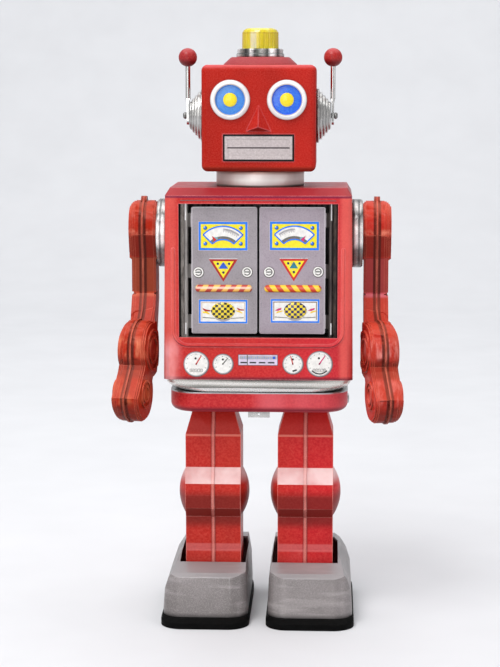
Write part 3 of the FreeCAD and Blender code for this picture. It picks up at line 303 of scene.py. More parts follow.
def head_extra(m, c):
    # painted highlight along the top edge of the face
    c = m.mix(m.math("MULTIPLY", m.mapr(m.z(), 0.2805, 0.2817), 0.5), c, lin(206, 96, 98))
    c = m.mix(m.math("MULTIPLY", m.mapr(m.z(), 0.2325, 0.2295), 0.4), c, lin(170, 70, 30))
    # pressed nose: painted shade on its facets, darker on the left, and painted highlight along its edges
    front = m.math("LESS_THAN", m.y(), -0.0302)
    ax = m.math("ABSOLUTE", m.x())
    hw = m.math("MULTIPLY", m.math("SUBTRACT", 0.2619, m.z()), 0.4846)
    inz = m.math("MULTIPLY", band(m, m.z(), 0.2489, 0.2619, 0.0002), front)
    inside = m.math("MULTIPLY", inz, m.mapr(m.math("SUBTRACT", hw, ax), 0.0, 0.0004))
    c = m.mix(m.math("MULTIPLY", inside, m.mapr(m.x(), 0.0004, -0.0004, 0.12, 0.5)), c, lin(92, 8, 8))
    rim = m.math("MULTIPLY", inz, m.mapr(m.math("ABSOLUTE", m.math("SUBTRACT", ax, m.math("SUBTRACT", hw, 0.0003))), 0.0006, 0.0002))
    c = m.mix(m.math("MULTIPLY", rim, m.mapr(m.noise(300, 3, 0.6), 0.35, 0.65, 0.35, 0.85)), c, lin(232, 128, 124))
    # painted highlight along the nose's lower edge
    low = m.math("MULTIPLY", front, m.math("MULTIPLY", m.mapr(m.math("ABSOLUTE", m.math("SUBTRACT", m.z(), 0.2489)), 0.0006, 0.0002), m.math("LESS_THAN", ax, 0.0064)))
    return m.mix(m.math("MULTIPLY", low, 0.6), c, lin(226, 116, 112))


RED_T = enamel("paint_torso", lin(204, 40, 36), lin(212, 38, 52), up=lin(176, 46, 54), up_amt=0.5, down=lin(110, 20, 40), edge=lin(248, 150, 150), edge_amt=0.55, extra=torso_extra)
RED_H = enamel("paint_head", lin(172, 20, 3), lin(190, 32, 24), up=lin(204, 90, 92), up_amt=0.7, down=lin(110, 24, 20), grain=1500, rough=0.46, coat=0.05, spec=0.08, edge=lin(226, 120, 124), edge_amt=0.6, edge_r=0.0011, extra=head_extra)
RED_C = enamel("paint_cap", lin(146, 40, 46), lin(146, 36, 34), gx=(-0.02, 0.02), up=lin(176, 74, 82), up_amt=0.5, grain=1500, rough=0.5, coat=0.05, edge=lin(214, 120, 120), edge_amt=0.3)
RED_A = enamel("plastic_arm", lin(170, 34, 4), lin(196, 46, 34), gx=(-0.06, 0.06), up=lin(216, 96, 70), up_amt=0.35, up_rng=(0.3, 0.8), down=lin(84, 26, 16), fleck=0.18, coat=0.06, spec=0.1, edge=lin(236, 130, 104), edge_amt=0.3, edge_r=0.0007, extra=arm_extra)
RED_L = enamel("plastic_leg", lin(202, 40, 28), lin(210, 28, 36), gx=(-0.012, 0.036), up=lin(252, 226, 224), up_amt=0.92, up_rng=(0.2, 0.5), up_z=0.0924, down=lin(110, 30, 24), edge=lin(246, 160, 150), edge_amt=0.6, extra=leg_extra)
RED_P = enamel("paint_pelvis", lin(202, 38, 42), lin(206, 44, 56), down=lin(110, 20, 40), edge=lin(244, 150, 160), edge_amt=0.4, extra=pelvis_extra)
BALL = enamel("ball_red", lin(156, 32, 38), lin(176, 36, 36), up=lin(196, 90, 94), up_amt=0.35, down=lin(80, 14, 20), rough=0.4, coat=0.2)


def tray_extra(m, c):
    # painted reflection: light and dark bands across the height, lighter towards the ends
    st = m.mapr(m.noise(60, 4, 0.6, (0.25, 1, 9)), 0.3, 0.7, -0.0006, 0.0006)
    z = m.math("ADD", m.z(), st)
    r = m.ramp(m.mapr(z, 0.1182, 0.1252), [(0.0, (0.5, 0.5, 0.5)), (0.1, (0.95, 0.95, 0.93)), (0.22, (0.9, 0.9, 0.88)), (0.3, (0.16, 0.16, 0.145)), (0.48, (0.45, 0.44, 0.41)),
                                           (0.62, (0.85, 0.83, 0.79)), (0.8, (0.42, 0.4, 0.37)), (0.93, (0.03, 0.03, 0.03)), (1.0, (0.02, 0.015, 0.02))])
    ends = m.mapr(m.math("ABSOLUTE", m.math("ADD", m.x(), 0.003)), 0.026, 0.043, 0, 0.6, True)
    return m.mix(ends, r, lin(222, 220, 214))


def collar_extra(m, c):
    # painted reflection: light and dark bands across the height
    st = m.mapr(m.noise(40, 3, 0.6, (10, 1, 0.6)), 0.3, 0.7, -0.0015, 0.0015)
    r = m.ramp(m.mapr(m.math("ADD", m.z(), st), 0.178, 0.214), [(0.0, (0.03, 0.03, 0.03)), (0.12, (0.32, 0.31, 0.3)), (0.3, (0.2, 0.19, 0.19)), (0.4, (0.95, 0.95, 0.94)), (0.64, (1.0, 1.0, 0.99)),
                                                                  (0.72, (0.5, 0.5, 0.5)), (0.8, (0.12, 0.12, 0.12)), (0.88, (0.7, 0.7, 0.68)), (1.0, (0.1, 0.1, 0.1))])
    ax = m.math("ABSOLUTE", m.x())
    r = m.mix(m.math("MULTIPLY", band(m, ax, 0.0500, 0.0508, 0.0003), 0.7), r, (0.02, 0.02, 0.02))
    # painted shade at the inner end against the torso
    return m.mix(m.math("MULTIPLY", m.mapr(ax, 0.0484, 0.0478), 0.85), r, (0.015, 0.012, 0.012))


def beacon_extra(m, c):
    # painted reflection: light and dark stripes round the collar
    r = m.ramp(m.mapr(m.x(), -0.0125, 0.0125), [(0.0, (0.05, 0.05, 0.05)), (0.06, (0.8, 0.8, 0.8)), (0.14, (0.28, 0.28, 0.26)), (0.22, (0.03, 0.03, 0.03)), (0.28, (0.1, 0.1, 0.1)), (0.32, (0.95, 0.95, 0.95)),
                                                 (0.4, (0.06, 0.06, 0.06)), (0.47, (0.05, 0.06, 0.05)), (0.56, (0.5, 0.5, 0.48)), (0.66, (0.08, 0.09, 0.08)), (0.72, (0.95, 0.95, 0.95)), (0.8, (0.85, 0.85, 0.85)),
                                                 (0.86, (0.04, 0.04, 0.04)), (0.92, (0.7, 0.7, 0.7)), (1.0, (0.15, 0.15, 0.15))])
    return m.mix(m.math("MULTIPLY", band(m, m.z(), 0.2871, 0.2876, 0.0002), 0.6), r, (0.02, 0.02, 0.02))


CHROME = metal("chrome", (0.80, 0.80, 0.79), 0.12, (1, 1, 1), 0.1, 0.72, ao=0.7)
CHROME_B = metal("chrome_worn", (0.78, 0.77, 0.75), 0.2, (1, 1, 1), 0.16, 0.6, ao=0.85)


def ear_extra(m, c):
    ax = m.math("ABSOLUTE", m.x())
    c = m.mix(m.math("MULTIPLY", m.mapr(ax, 0.0374, 0.0380), 0.7), c, (0.09, 0.088, 0.085))
    return m.mix(m.math("MULTIPLY", m.mapr(ax, 0.0300, 0.0288), 0.5), c, (0.16, 0.14, 0.13))


EARM = metal("ear_chrome", (0.74, 0.73, 0.71), 0.24, (1, 1, 1), 0.16, 0.55, scale=90, ao=1.0, ao_d=0.0022, extra=ear_extra)
TRAY = metal("tray_chrome", (0.8, 0.8, 0.8), 0.2, metallic=0.55, extra=tray_extra)
COLLAR = metal("collar_chrome", (0.8, 0.8, 0.8), 0.2, metallic=0.3, extra=collar_extra)
BCOL = metal("beacon_chrome", (0.8, 0.8, 0.8), 0.2, metallic=0.5, extra=beacon_extra)
STEEL = metal("plain_steel", (0.56, 0.57, 0.58), 0.3, (1, 1, 30), 0.2, 0.75)
BLUED = metal("blued_spring", (0.14, 0.17, 0.26), 0.25, (1, 1, 1), 0.15, 0.7)
BRASS = metal("clock_brass", (0.74, 0.55, 0.24), 0.24, (1, 1, 1), 0.16, 0.78)


def neck_extra(m, c):
    # painted shade: dark at the foot of the neck and brownish-dark under the head
    r = m.ramp(m.mapr(m.z(), 0.2209, 0.2290), [(0.0, (0.05, 0.045, 0.04)), (0.1, (0.12, 0.11, 0.1)), (0.17, lin(214, 204, 200)), (0.45, lin(240, 236, 232)), (0.75, lin(226, 212, 208)), (0.92, lin(160, 120, 110)), (1.0, lin(90, 50, 40))])
    s = m.mapr(m.noise(24, 3, 0.6, (1.6, 1, 0.3)), 0.42, 0.66)
    return m.mix(m.math("MULTIPLY", s, 0.4), r, lin(176, 160, 152))


NECK = metal("neck_satin", lin(226, 222, 220), 0.34, (1, 1, 1), 0.14, 0.88, metallic=0.35, scale=30, extra=neck_extra)

# shoe enamel: warm grey with metal flake
SHOE = M("shoe_grey")
_f = SHOE.noise(2600, 2, 0.8)
_c = SHOE.mix(SHOE.mapr(SHOE.noise(30, 3, 0.5), 0.35, 0.65), lin(108, 103, 102), lin(132, 126, 126))
_c = SHOE.mix(SHOE.math("MULTIPLY", SHOE.mapr(_f, 0.45, 0.8), 0.55), _c, lin(205, 196, 196))
_c = SHOE.mix(SHOE.math("MULTIPLY", SHOE.mapr(SHOE.noise(1900, 2, 0.8), 0.45, 0.8), 0.35), _c, lin(104, 98, 98))
_g = SHOE.nt.nodes.new("ShaderNodeNewGeometry")
_sn = SHOE.nt.nodes.new("ShaderNodeSeparateXYZ")
SHOE.link(_g.outputs["Normal"], _sn.inputs[0])
# painted highlight: upward faces lighter
_c = SHOE.mix(SHOE.math("MULTIPLY", SHOE.mapr(_sn.outputs[2], 0.35, 0.9, 0, 1, True), 0.7), _c, lin(166, 164, 166))
_c = SHOE.mix(SHOE.math("MULTIPLY", SHOE.mapr(SHOE.noise(55, 3, 0.6, (0.4, 1, 3)), 0.5, 0.7), 0.3), _c, lin(214, 206, 206))
_c = SHOE.mix(SHOE.mapr(SHOE.z(), 0.0068, 0.0046, 0, 0.75), _c, lin(40, 36, 36))
# painted shade: crevices darkened through the ambient occlusion node
_a = SHOE.nt.nodes.new("ShaderNodeAmbientOcclusion")
_a.samples = 6
_a.inputs["Distance"].default_value = 0.012
_c = SHOE.mix(SHOE.math("MULTIPLY", SHOE.math("SUBTRACT", 1.0, SHOE.mapr(_a.outputs["AO"], 0.1, 0.9)), 0.8), _c, lin(34, 30, 30))
SHOE.col(_c)
SHOE.rough(SHOE.mapr(_f, 0.2, 0.8, 0.34, 0.5))
SHOE.bump(_f, 0.15, 0.0001)
SHOE.set(Metallic=0.2, Coat_Weight=0.08, Coat_Roughness=0.3, Specular_IOR_Level=0.4)

SOLE = M("sole_black")
SOLE.col(SOLE.mix(SOLE.noise(300, 3, 0.6), (0.001, 0.001, 0.001), (0.006, 0.006, 0.006)))
SOLE.rough(SOLE.mapr(SOLE.noise(500, 3), 0.3, 0.7, 0.55, 0.75))
SOLE.set(Specular_IOR_Level=0.05)
SOLE.bump(SOLE.noise(1200, 2), 0.15, 0.0001)

DARK = M("bay_dark")
_s = DARK.noise(70, 4, 0.6, (6, 6, 0.25))
_c = DARK.mix(DARK.mapr(_s, 0.38, 0.66), lin(38, 34, 34), lin(110, 105, 104))
# sheet channels behind the hinge rods: mottled grey at left, nearly black with brown streaks at right; the same sheet,
# with painted light at left and painted shade at right
_m = DARK.noise(260, 4, 0.7, (2.5, 2.5, 0.6))
_l = DARK.mix(DARK.mapr(_m, 0.35, 0.65), lin(92, 86, 82), lin(168, 160, 154))
_r = DARK.mix(DARK.mapr(_m, 0.35, 0.65), lin(44, 38, 38), lin(98, 84, 76))
_k = DARK.math("LESS_THAN", DARK.y(), -0.0255)
_c = DARK.mix(_k, _c, DARK.mix(DARK.mapr(DARK.x(), 0.001, -0.001), _r, _l))
_c = DARK.mix(DARK.math("MULTIPLY", _k, DARK.mapr(DARK.math("ABSOLUTE", DARK.x()), 0.0388, 0.0392)), _c, lin(16, 18, 18))
DARK.col(_c)
DARK.rough(DARK.mapr(_s, 0.3, 0.7, 0.3, 0.5))
DARK.set(Metallic=0.7)

GUN = M("gun_dark")
GUN.col(GUN.mix(GUN.noise(200, 3), (0.02, 0.02, 0.022), (0.06, 0.06, 0.065)))
GUN.rough(GUN.mapr(GUN.noise(300, 3), 0.3, 0.7, 0.4, 0.6))
GUN.bump(GUN.noise(900, 2), 0.2, 0.0001)

RUBBER = M("roller_rubber")
RUBBER.col(RUBBER.mix(RUBBER.noise(300, 3), (0.01, 0.01, 0.01), (0.03, 0.03, 0.03)))
RUBBER.rough(RUBBER.mapr(RUBBER.noise(300, 3), 0.3, 0.7, 0.6, 0.8))

# mouth plate: satin light grey, warmer at the rim, dark line in the groove, near-black band round the edge as painted
# shadow of the gap round the plate
MOUTH = M("mouth_satin")
_c = MOUTH.mix(MOUTH.mapr(MOUTH.noise(900, 3, 0.7), 0.3, 0.7), lin(176, 164, 164), lin(204, 194, 194))
_line = MOUTH.math("LESS_THAN", MOUTH.math("ABSOLUTE", MOUTH.math("SUBTRACT", MOUTH.z(), 0.2408)), 0.00034)
_in = MOUTH.math("LESS_THAN", MOUTH.math("ABSOLUTE", MOUTH.x()), 0.0155)
_c = MOUTH.mix(MOUTH.math("MULTIPLY", _line, _in), _c, lin(70, 62, 64))
# painted shadow: near-black band round the plate's edge
_rim = MOUTH.math("GREATER_THAN", MOUTH.math("ABSOLUTE", MOUTH.x()), 0.0168)
_rimz = MOUTH.math("GREATER_THAN", MOUTH.math("ABSOLUTE", MOUTH.math("SUBTRACT", MOUTH.z(), 0.2408)), 0.0057)
_c = MOUTH.mix(MOUTH.math("MAXIMUM", _rim, _rimz), _c, (0.001, 0.001, 0.001))
MOUTH.col(_c)
MOUTH.rough(MOUTH.mapr(MOUTH.noise(500, 3), 0.3, 0.7, 0.32, 0.46))
MOUTH.set(Metallic=0.3)

BEZEL = M("bezel_white")
_bx = BEZEL.math("SUBTRACT", BEZEL.math("ABSOLUTE", BEZEL.x()), 0.01406)
_bz = BEZEL.math("SUBTRACT", BEZEL.z(), 0.2645)
_br = BEZEL.math("SQRT", BEZEL.math("ADD", BEZEL.math("MULTIPLY", _bx, _bx), BEZEL.math("MULTIPLY", _bz, _bz)))
_bc = BEZEL.mix(BEZEL.mapr(BEZEL.noise(160, 3), 0.3, 0.7), lin(226, 224, 226), lin(246, 244, 244))
_bc = BEZEL.mix(BEZEL.mapr(_br, 0.0094, 0.0099), _bc, lin(168, 156, 154))
# painted shadow: tan ring just inside the white
_bc = BEZEL.mix(BEZEL.mapr(_br, 0.0079, 0.0076), _bc, lin(188, 170, 158))
_bc = BEZEL.mix(BEZEL.math("LESS_THAN", _br, 0.00735), _bc, BEZEL.mix(BEZEL.mapr(BEZEL.x(), -0.006, 0.006), lin(62, 132, 214), lin(24, 96, 224)))
BEZEL.col(_bc)
BEZEL.rough(BEZEL.mapr(BEZEL.noise(300, 3), 0.3, 0.7, 0.26, 0.4))

# eye disc: yellow centre on blue, thin tan ring outside
EYE = M("eye_print")
_ax = EYE.math("SUBTRACT", EYE.math("ABSOLUTE", EYE.x()), 0.01406)
_az = EYE.math("SUBTRACT", EYE.z(), 0.2645)
_r = EYE.math("SQRT", EYE.math("ADD", EYE.math("MULTIPLY", _ax, _ax), EYE.math("MULTIPLY", _az, _az)))
_rn = EYE.mapr(_r, 0.0, 0.008)
_blue = EYE.mix(EYE.mapr(EYE.x(), -0.006, 0.006), lin(62, 132, 214), lin(24, 96, 224))
_blue = EYE.mix(EYE.math("MULTIPLY", EYE.mapr(EYE.noise(700, 3, 0.7), 0.35, 0.7), 0.35), _blue, lin(80, 160, 235))
_c = EYE.mix(EYE.math("GREATER_THAN", _r, 0.00345), lin(246, 220, 28), _blue)
EYE.col(_c)
EYE.rough(EYE.mapr(EYE.noise(300, 3), 0.3, 0.7, 0.22, 0.34))
EYE.set(Coat_Weight=0.3)

LENS = M("lens_yellow")
_c = LENS.mix(LENS.mapr(LENS.noise(240, 3, 0.6, (4, 4, 0.4)), 0.3, 0.7), lin(226, 204, 14), lin(246, 232, 60))
# painted highlight: white spot left of centre
_w = LENS.math("MULTIPLY", band(LENS, LENS.x(), -0.0042, -0.0022, 0.0009), band(LENS, LENS.z(), 0.2905, 0.2975, 0.0012))
_c = LENS.mix(LENS.math("MULTIPLY", _w, 0.75), _c, lin(250, 248, 222))
# painted shade: darker towards the sides
_c = LENS.mix(LENS.mapr(LENS.math("ABSOLUTE", LENS.x()), 0.0072, 0.0094, 0, 0.5), _c, lin(190, 150, 6))
_c = LENS.mix(LENS.math("MULTIPLY", band(LENS, LENS.z(), 0.2974, 0.2978, 0.0003), 0.4), _c, lin(196, 160, 20))
LENS.col(_c)
LENS.rough(LENS.mapr(LENS.noise(200, 3), 0.3, 0.7, 0.14, 0.24))
LENS.set(Transmission_Weight=0.25, IOR=1.46, Subsurface_Weight=0.35, Subsurface_Radius=(0.004, 0.003, 0.001), Coat_Weight=0.5)

# door face: lilac grey mottled metal, darker hinge strip outside with painted highlights near its top and bottom,
# painted highlight along the door's outer edge, striped pressed bar with painted highlight along its middle and painted
# shade along its lower edge
def door_mat(name, stripes, tint):
    m = M(name)
    c = m.mix(m.mapr(m.noise(42, 4, 0.55), 0.36, 0.64), tint[0], tint[1])
    g = m.noise(1500, 3, 0.75)
    c = m.mix(m.math("MULTIPLY", m.mapr(g, 0.3, 0.75), 0.45), c, tint[2])
    c = m.mix(m.math("MULTIPLY", m.mapr(m.noise(1100, 2, 0.75), 0.5, 0.8), 0.4), c, lin(112, 104, 112))
    ax = m.math("ABSOLUTE", m.x())
    rod = m.mix(m.mapr(m.noise(90, 4, 0.65, (6, 6, 0.5)), 0.35, 0.65), stripes[6], stripes[7])
    rod = m.mix(m.math("MULTIPLY", m.mapr(ax, 0.0357, 0.0351, 0, 0.8, True), 1.0), rod, lin(38, 30, 26))
    # painted highlight: white streaks near the top and bottom of the hinge rod
    shine = m.math("MULTIPLY", band(m, ax, 0.0363, 0.0367, 0.0002), m.math("MAXIMUM", band(m, m.z(), 0.2052, 0.2130, 0.0006), band(m, m.z(), 0.1478, 0.1530, 0.0006)))
    rod = m.mix(m.math("MULTIPLY", shine, 0.9), rod, (1.0, 1.0, 1.0))
    c = m.mix(m.math("GREATER_THAN", ax, 0.0338), c, rod)
    # painted highlight along the door's outer edge
    c = m.mix(m.math("MULTIPLY", band(m, ax, 0.0330, 0.0337, 0.0002), 0.45), c, lin(226, 220, 224))
    # bar
    zc = m.math("SUBTRACT", m.z(), 0.1707)
    ph = m.math("ADD", m.math("SUBTRACT", m.x(), stripes[4]), m.math("MULTIPLY", zc, stripes[0]))
    ph = m.math("ADD", ph, m.mapr(m.noise(260, 2, 0.5), 0.3, 0.7, -0.0003, 0.0003))
    t = m.math("ABSOLUTE", m.math("SUBTRACT", m.math("FRACT", m.math("ADD", m.math("MULTIPLY", ph, 1.0 / stripes[1]), 10.5)), 0.5))
    bar = m.mix(m.mapr(t, 0.225, 0.275), stripes[3], stripes[2])
    # painted shade along the bar's lower edge
    bar = m.mix(m.math("MULTIPLY", m.mapr(zc, -0.0008, -0.0017, 0, 1, True), 0.6), bar, lin(120, 24, 30))
    # painted highlight along the middle of the bar
    bar = m.mix(m.math("MULTIPLY", band(m, zc, 0.0001, 0.0008, 0.0004), stripes[5]), bar, lin(252, 226, 206))
    front = m.math("LESS_THAN", m.y(), -0.02804)
    c = m.mix(front, c, bar)
    m.col(c)
    m.rough(m.mapr(g, 0.3, 0.7, 0.36, 0.5))
    mt = m.math("MULTIPLY", m.math("SUBTRACT", 1.0, front), 0.45)
    m.link(mt, m.b.inputs["Metallic"])
    m.bump(g, 0.08, 0.0001)
    m.set(Coat_Weight=0.1, Coat_Roughness=0.2, Specular_IOR_Level=0.3)
    return m


# in each stripe tuple the sixth value is the strength of the painted highlight on the bar, and the last two colours are
# the hinge strip: painted light on the left door, painted shade on the right
DOOR_L = door_mat("door_face_and_painted_light_l", (-0.67, 0.0056, lin(246, 190, 92), lin(196, 66, 52), -0.0244, 0.65, lin(126, 121, 118), lin(196, 192, 188)), (lin(142, 136, 139), lin(164, 157, 162), lin(188, 180, 187)))
DOOR_R = door_mat("door_face_and_painted_light_r", (0.8, 0.00544, lin(250, 206, 40), lin(208, 60, 26), 0.01097, 0.12, lin(40, 34, 34), lin(92, 84, 82)), (lin(152, 140, 148), lin(172, 160, 170), lin(194, 184, 194)))

ASSIGN = {
    "pelvis_shell": RED_P, "pelvis_deck": STEEL, "waist_nut": STEEL, "crank_frame": STEEL, "hip_pins": STEEL, "crankshaft": STEEL,
    "leg_drive_shaft": BRASS, "under_latch": CHROME_B, "torso_front_shell": RED_T, "torso_back_cover": RED_T, "weapons_bay": DARK,
    "door_left": DOOR_L, "door_right": DOOR_R, "door_link": STEEL, "gun_barrels": GUN, "waist_tray": TRAY, "motor_bridge": STEEL,
    "motor_plates": STEEL, "motor_pillars": STEEL, "mainspring": BLUED, "winding_arbor": STEEL, "great_wheel": BRASS, "ratchet_click": STEEL,
    "winding_key": CHROME, "second_wheel": BRASS, "contrate_wheel": BRASS, "governor": BRASS, "drive_shaft": BRASS, "stop_lever": CHROME_B,
    "neck_collar": NECK, "head_shell": RED_H, "mouth_plate": MOUTH, "eye_bezels": BEZEL, "eye_discs": EYE, "head_cap": RED_C,
    "beacon_collar": BCOL, "beacon_lens": LENS, "ear_cones": EARM, "antenna_left": CHROME, "antenna_right": CHROME,
    "antenna_ball_left": BALL, "antenna_ball_right": BALL, "shoulder_collars": COLLAR, "arm_axle_left": STEEL, "arm_axle_right": STEEL,
    "foot_left": SHOE, "foot_right": SHOE, "sole_left": SOLE, "sole_right": SOLE, "roller_left": RUBBER, "roller_right": RUBBER,
}
for s in ("left", "right"):
    for h in ("inner", "outer"):
        ASSIGN["arm_%s_%s" % (s, h)] = RED_A
        ASSIGN["leg_%s_%s" % (s, h)] = RED_L
for n, m in ASSIGN.items():
    o = N[n]
    if not o.material_slots:
        o.data.materials.append(m.mat)
    for sl in o.material_slots:
        sl.material = m.mat


def soften(node, width, segs=3, angle=35, planar=1.2):
    o = N[node]
    w = o.modifiers.new("weld", "WELD")
    w.merge_threshold = 2e-6
    d = o.modifiers.new("flat", "DECIMATE")
    d.decimate_type = "DISSOLVE"
    d.angle_limit = math.radians(planar)
    b = o.modifiers.new("round", "BEVEL")
    b.width = width * MM
    b.segments = segs
    b.limit_method = "ANGLE"
    b.angle_limit = math.radians(angle)
    b.harden_normals = True
    b.use_clamp_overlap = True


# ---------------------------------------------------------------- printed panels, with painted highlight and shadow lines
def flat_mat(name, c, rough=0.4, var=0.12, scale=500, metallic=0.0):
    m = M(name)
    g = m.noise(scale, 3, 0.6)
    m.col(m.mix(m.mapr(g, 0.3, 0.7), tuple(v * (1 - var) for v in c), tuple(min(1, v * (1 + var)) for v in c)))
    m.rough(m.mapr(g, 0.3, 0.7, rough - 0.05, rough + 0.06))
    m.set(Metallic=metallic, Coat_Weight=0.2)
    return m


# flat colours for the printed shapes, also used for painted highlight and shadow lines
INK = {
    "blue": flat_mat("ink_blue", lin(20, 122, 236)), "yellow": flat_mat("ink_yellow", lin(250, 228, 26)), "white": flat_mat("ink_white", lin(238, 236, 232)),
    "red": flat_mat("ink_red", lin(204, 34, 24)), "black": flat_mat("ink_black", lin(22, 20, 22)), "navy": flat_mat("ink_navy", lin(20, 26, 92)),
    "grey": flat_mat("ink_grey", lin(104, 106, 100)), "lgrey": flat_mat("ink_lgrey", lin(176, 172, 176)), "teal": flat_mat("ink_teal", lin(36, 126, 150)),
    "magenta": flat_mat("ink_magenta", lin(206, 30, 112)), "silver": flat_mat("ink_silver", lin(206, 206, 208), 0.3, 0.1, 300, 0.5),
    "lilac": flat_mat("ink_lilac", lin(214, 200, 224)), "rblue": flat_mat("ink_royal", lin(28, 88, 210)), "rim": flat_mat("ink_rim", lin(96, 88, 90)),
    "tan": flat_mat("ink_tan", lin(214, 192, 170)), "gold": flat_mat("ink_gold", lin(250, 210, 30)),
    "dgrey": flat_mat("ink_dgrey", lin(84, 80, 80)), "brown": flat_mat("ink_brown", lin(134, 106, 80)), "sky": flat_mat("ink_sky", lin(120, 176, 186)), "dred": flat_mat("ink_dred", lin(172, 18, 12)),
}
INKS = list(INK)


class PrintAndPaintedLight:
    """Thin flat shapes on a plane facing -Y: printed artwork and some painted highlight and shadow lines; every layer
    lies 0.03 mm further out.
    """

    def __init__(self, name, body, y):
        self.name, self.body, self.y = name, body, y
        self.bm = bmesh.new()
        self.layer = 0

    def poly(self, pts, ink, lay=None):
        l = self.layer if lay is None else lay
        vs = [self.bm.verts.new((p[0] * MM, (self.y - 0.03 * (l + 1)) * MM, p[1] * MM)) for p in pts]
        f = self.bm.faces.new(vs)
        f.normal_update()
        if f.normal.y > 0:
            f.normal_flip()
        f.material_index = INKS.index(ink)

    def rect(self, x0, x1, z0, z1, ink, r=0.0):
        x0, x1 = min(x0, x1), max(x0, x1)
        if r <= 0:
            self.poly([(x0, z0), (x1, z0), (x1, z1), (x0, z1)], ink)
            return
        pts = []
        for cx, cz, a0 in ((x1 - r, z1 - r, 0), (x0 + r, z1 - r, 90), (x0 + r, z0 + r, 180), (x1 - r, z0 + r, 270)):
            for k in range(7):
                a = math.radians(a0 + 15 * k)
                pts.append((cx + r * math.cos(a), cz + r * math.sin(a)))
        self.poly(pts, ink)

    def disc(self, cx, cz, r, ink, n=40, rz=None):
        rz = rz or r
        self.poly([(cx + r * math.cos(2 * math.pi * k / n), cz + rz * math.sin(2 * math.pi * k / n)) for k in range(n)], ink)

    def ring(self, cx, cz, r0, r1, ink, a0=0, a1=360, n=48):
        for k in range(n):
            a, b = math.radians(a0 + (a1 - a0) * k / n), math.radians(a0 + (a1 - a0) * (k + 1) / n)
            self.poly([(cx + r0 * math.cos(a), cz + r0 * math.sin(a)), (cx + r1 * math.cos(a), cz + r1 * math.sin(a)),
                       (cx + r1 * math.cos(b), cz + r1 * math.sin(b)), (cx + r0 * math.cos(b), cz + r0 * math.sin(b))], ink)

    def line(self, a, b, w, ink, w2=None):
        w2 = w if w2 is None else w2
        dx, dz = b[0] - a[0], b[1] - a[1]
        L = math.hypot(dx, dz)
        nx, nz = -dz / L, dx / L
        self.poly([(a[0] + nx * w / 2, a[1] + nz * w / 2), (b[0] + nx * w2 / 2, b[1] + nz * w2 / 2),
                   (b[0] - nx * w2 / 2, b[1] - nz * w2 / 2), (a[0] - nx * w / 2, a[1] - nz * w / 2)], ink)

    def up(self):
        self.layer += 1

    def done(self):
        me = bpy.data.meshes.new(self.name)
        bmesh.ops.remove_doubles(self.bm, verts=self.bm.verts, dist=1e-9)
        self.bm.to_mesh(me)
        self.bm.free()
        for k in INKS:
            me.materials.append(INK[k].mat)
        o = bpy.data.objects.new(self.name, me)
        bpy.context.collection.objects.link(o)
        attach(o, self.body)
        return o


DIGITS = {  # seven-segment digits for the little counters
    "0": "abcdef", "2": "abged", "5": "afgcd", "7": "abc"}


def arc_pts(cx, cz, r, a0, a1, n):
    return [(cx + r * math.cos(math.radians(a0 + (a1 - a0) * k / n)), cz + r * math.sin(math.radians(a0 + (a1 - a0) * k / n))) for k in range(n + 1)]


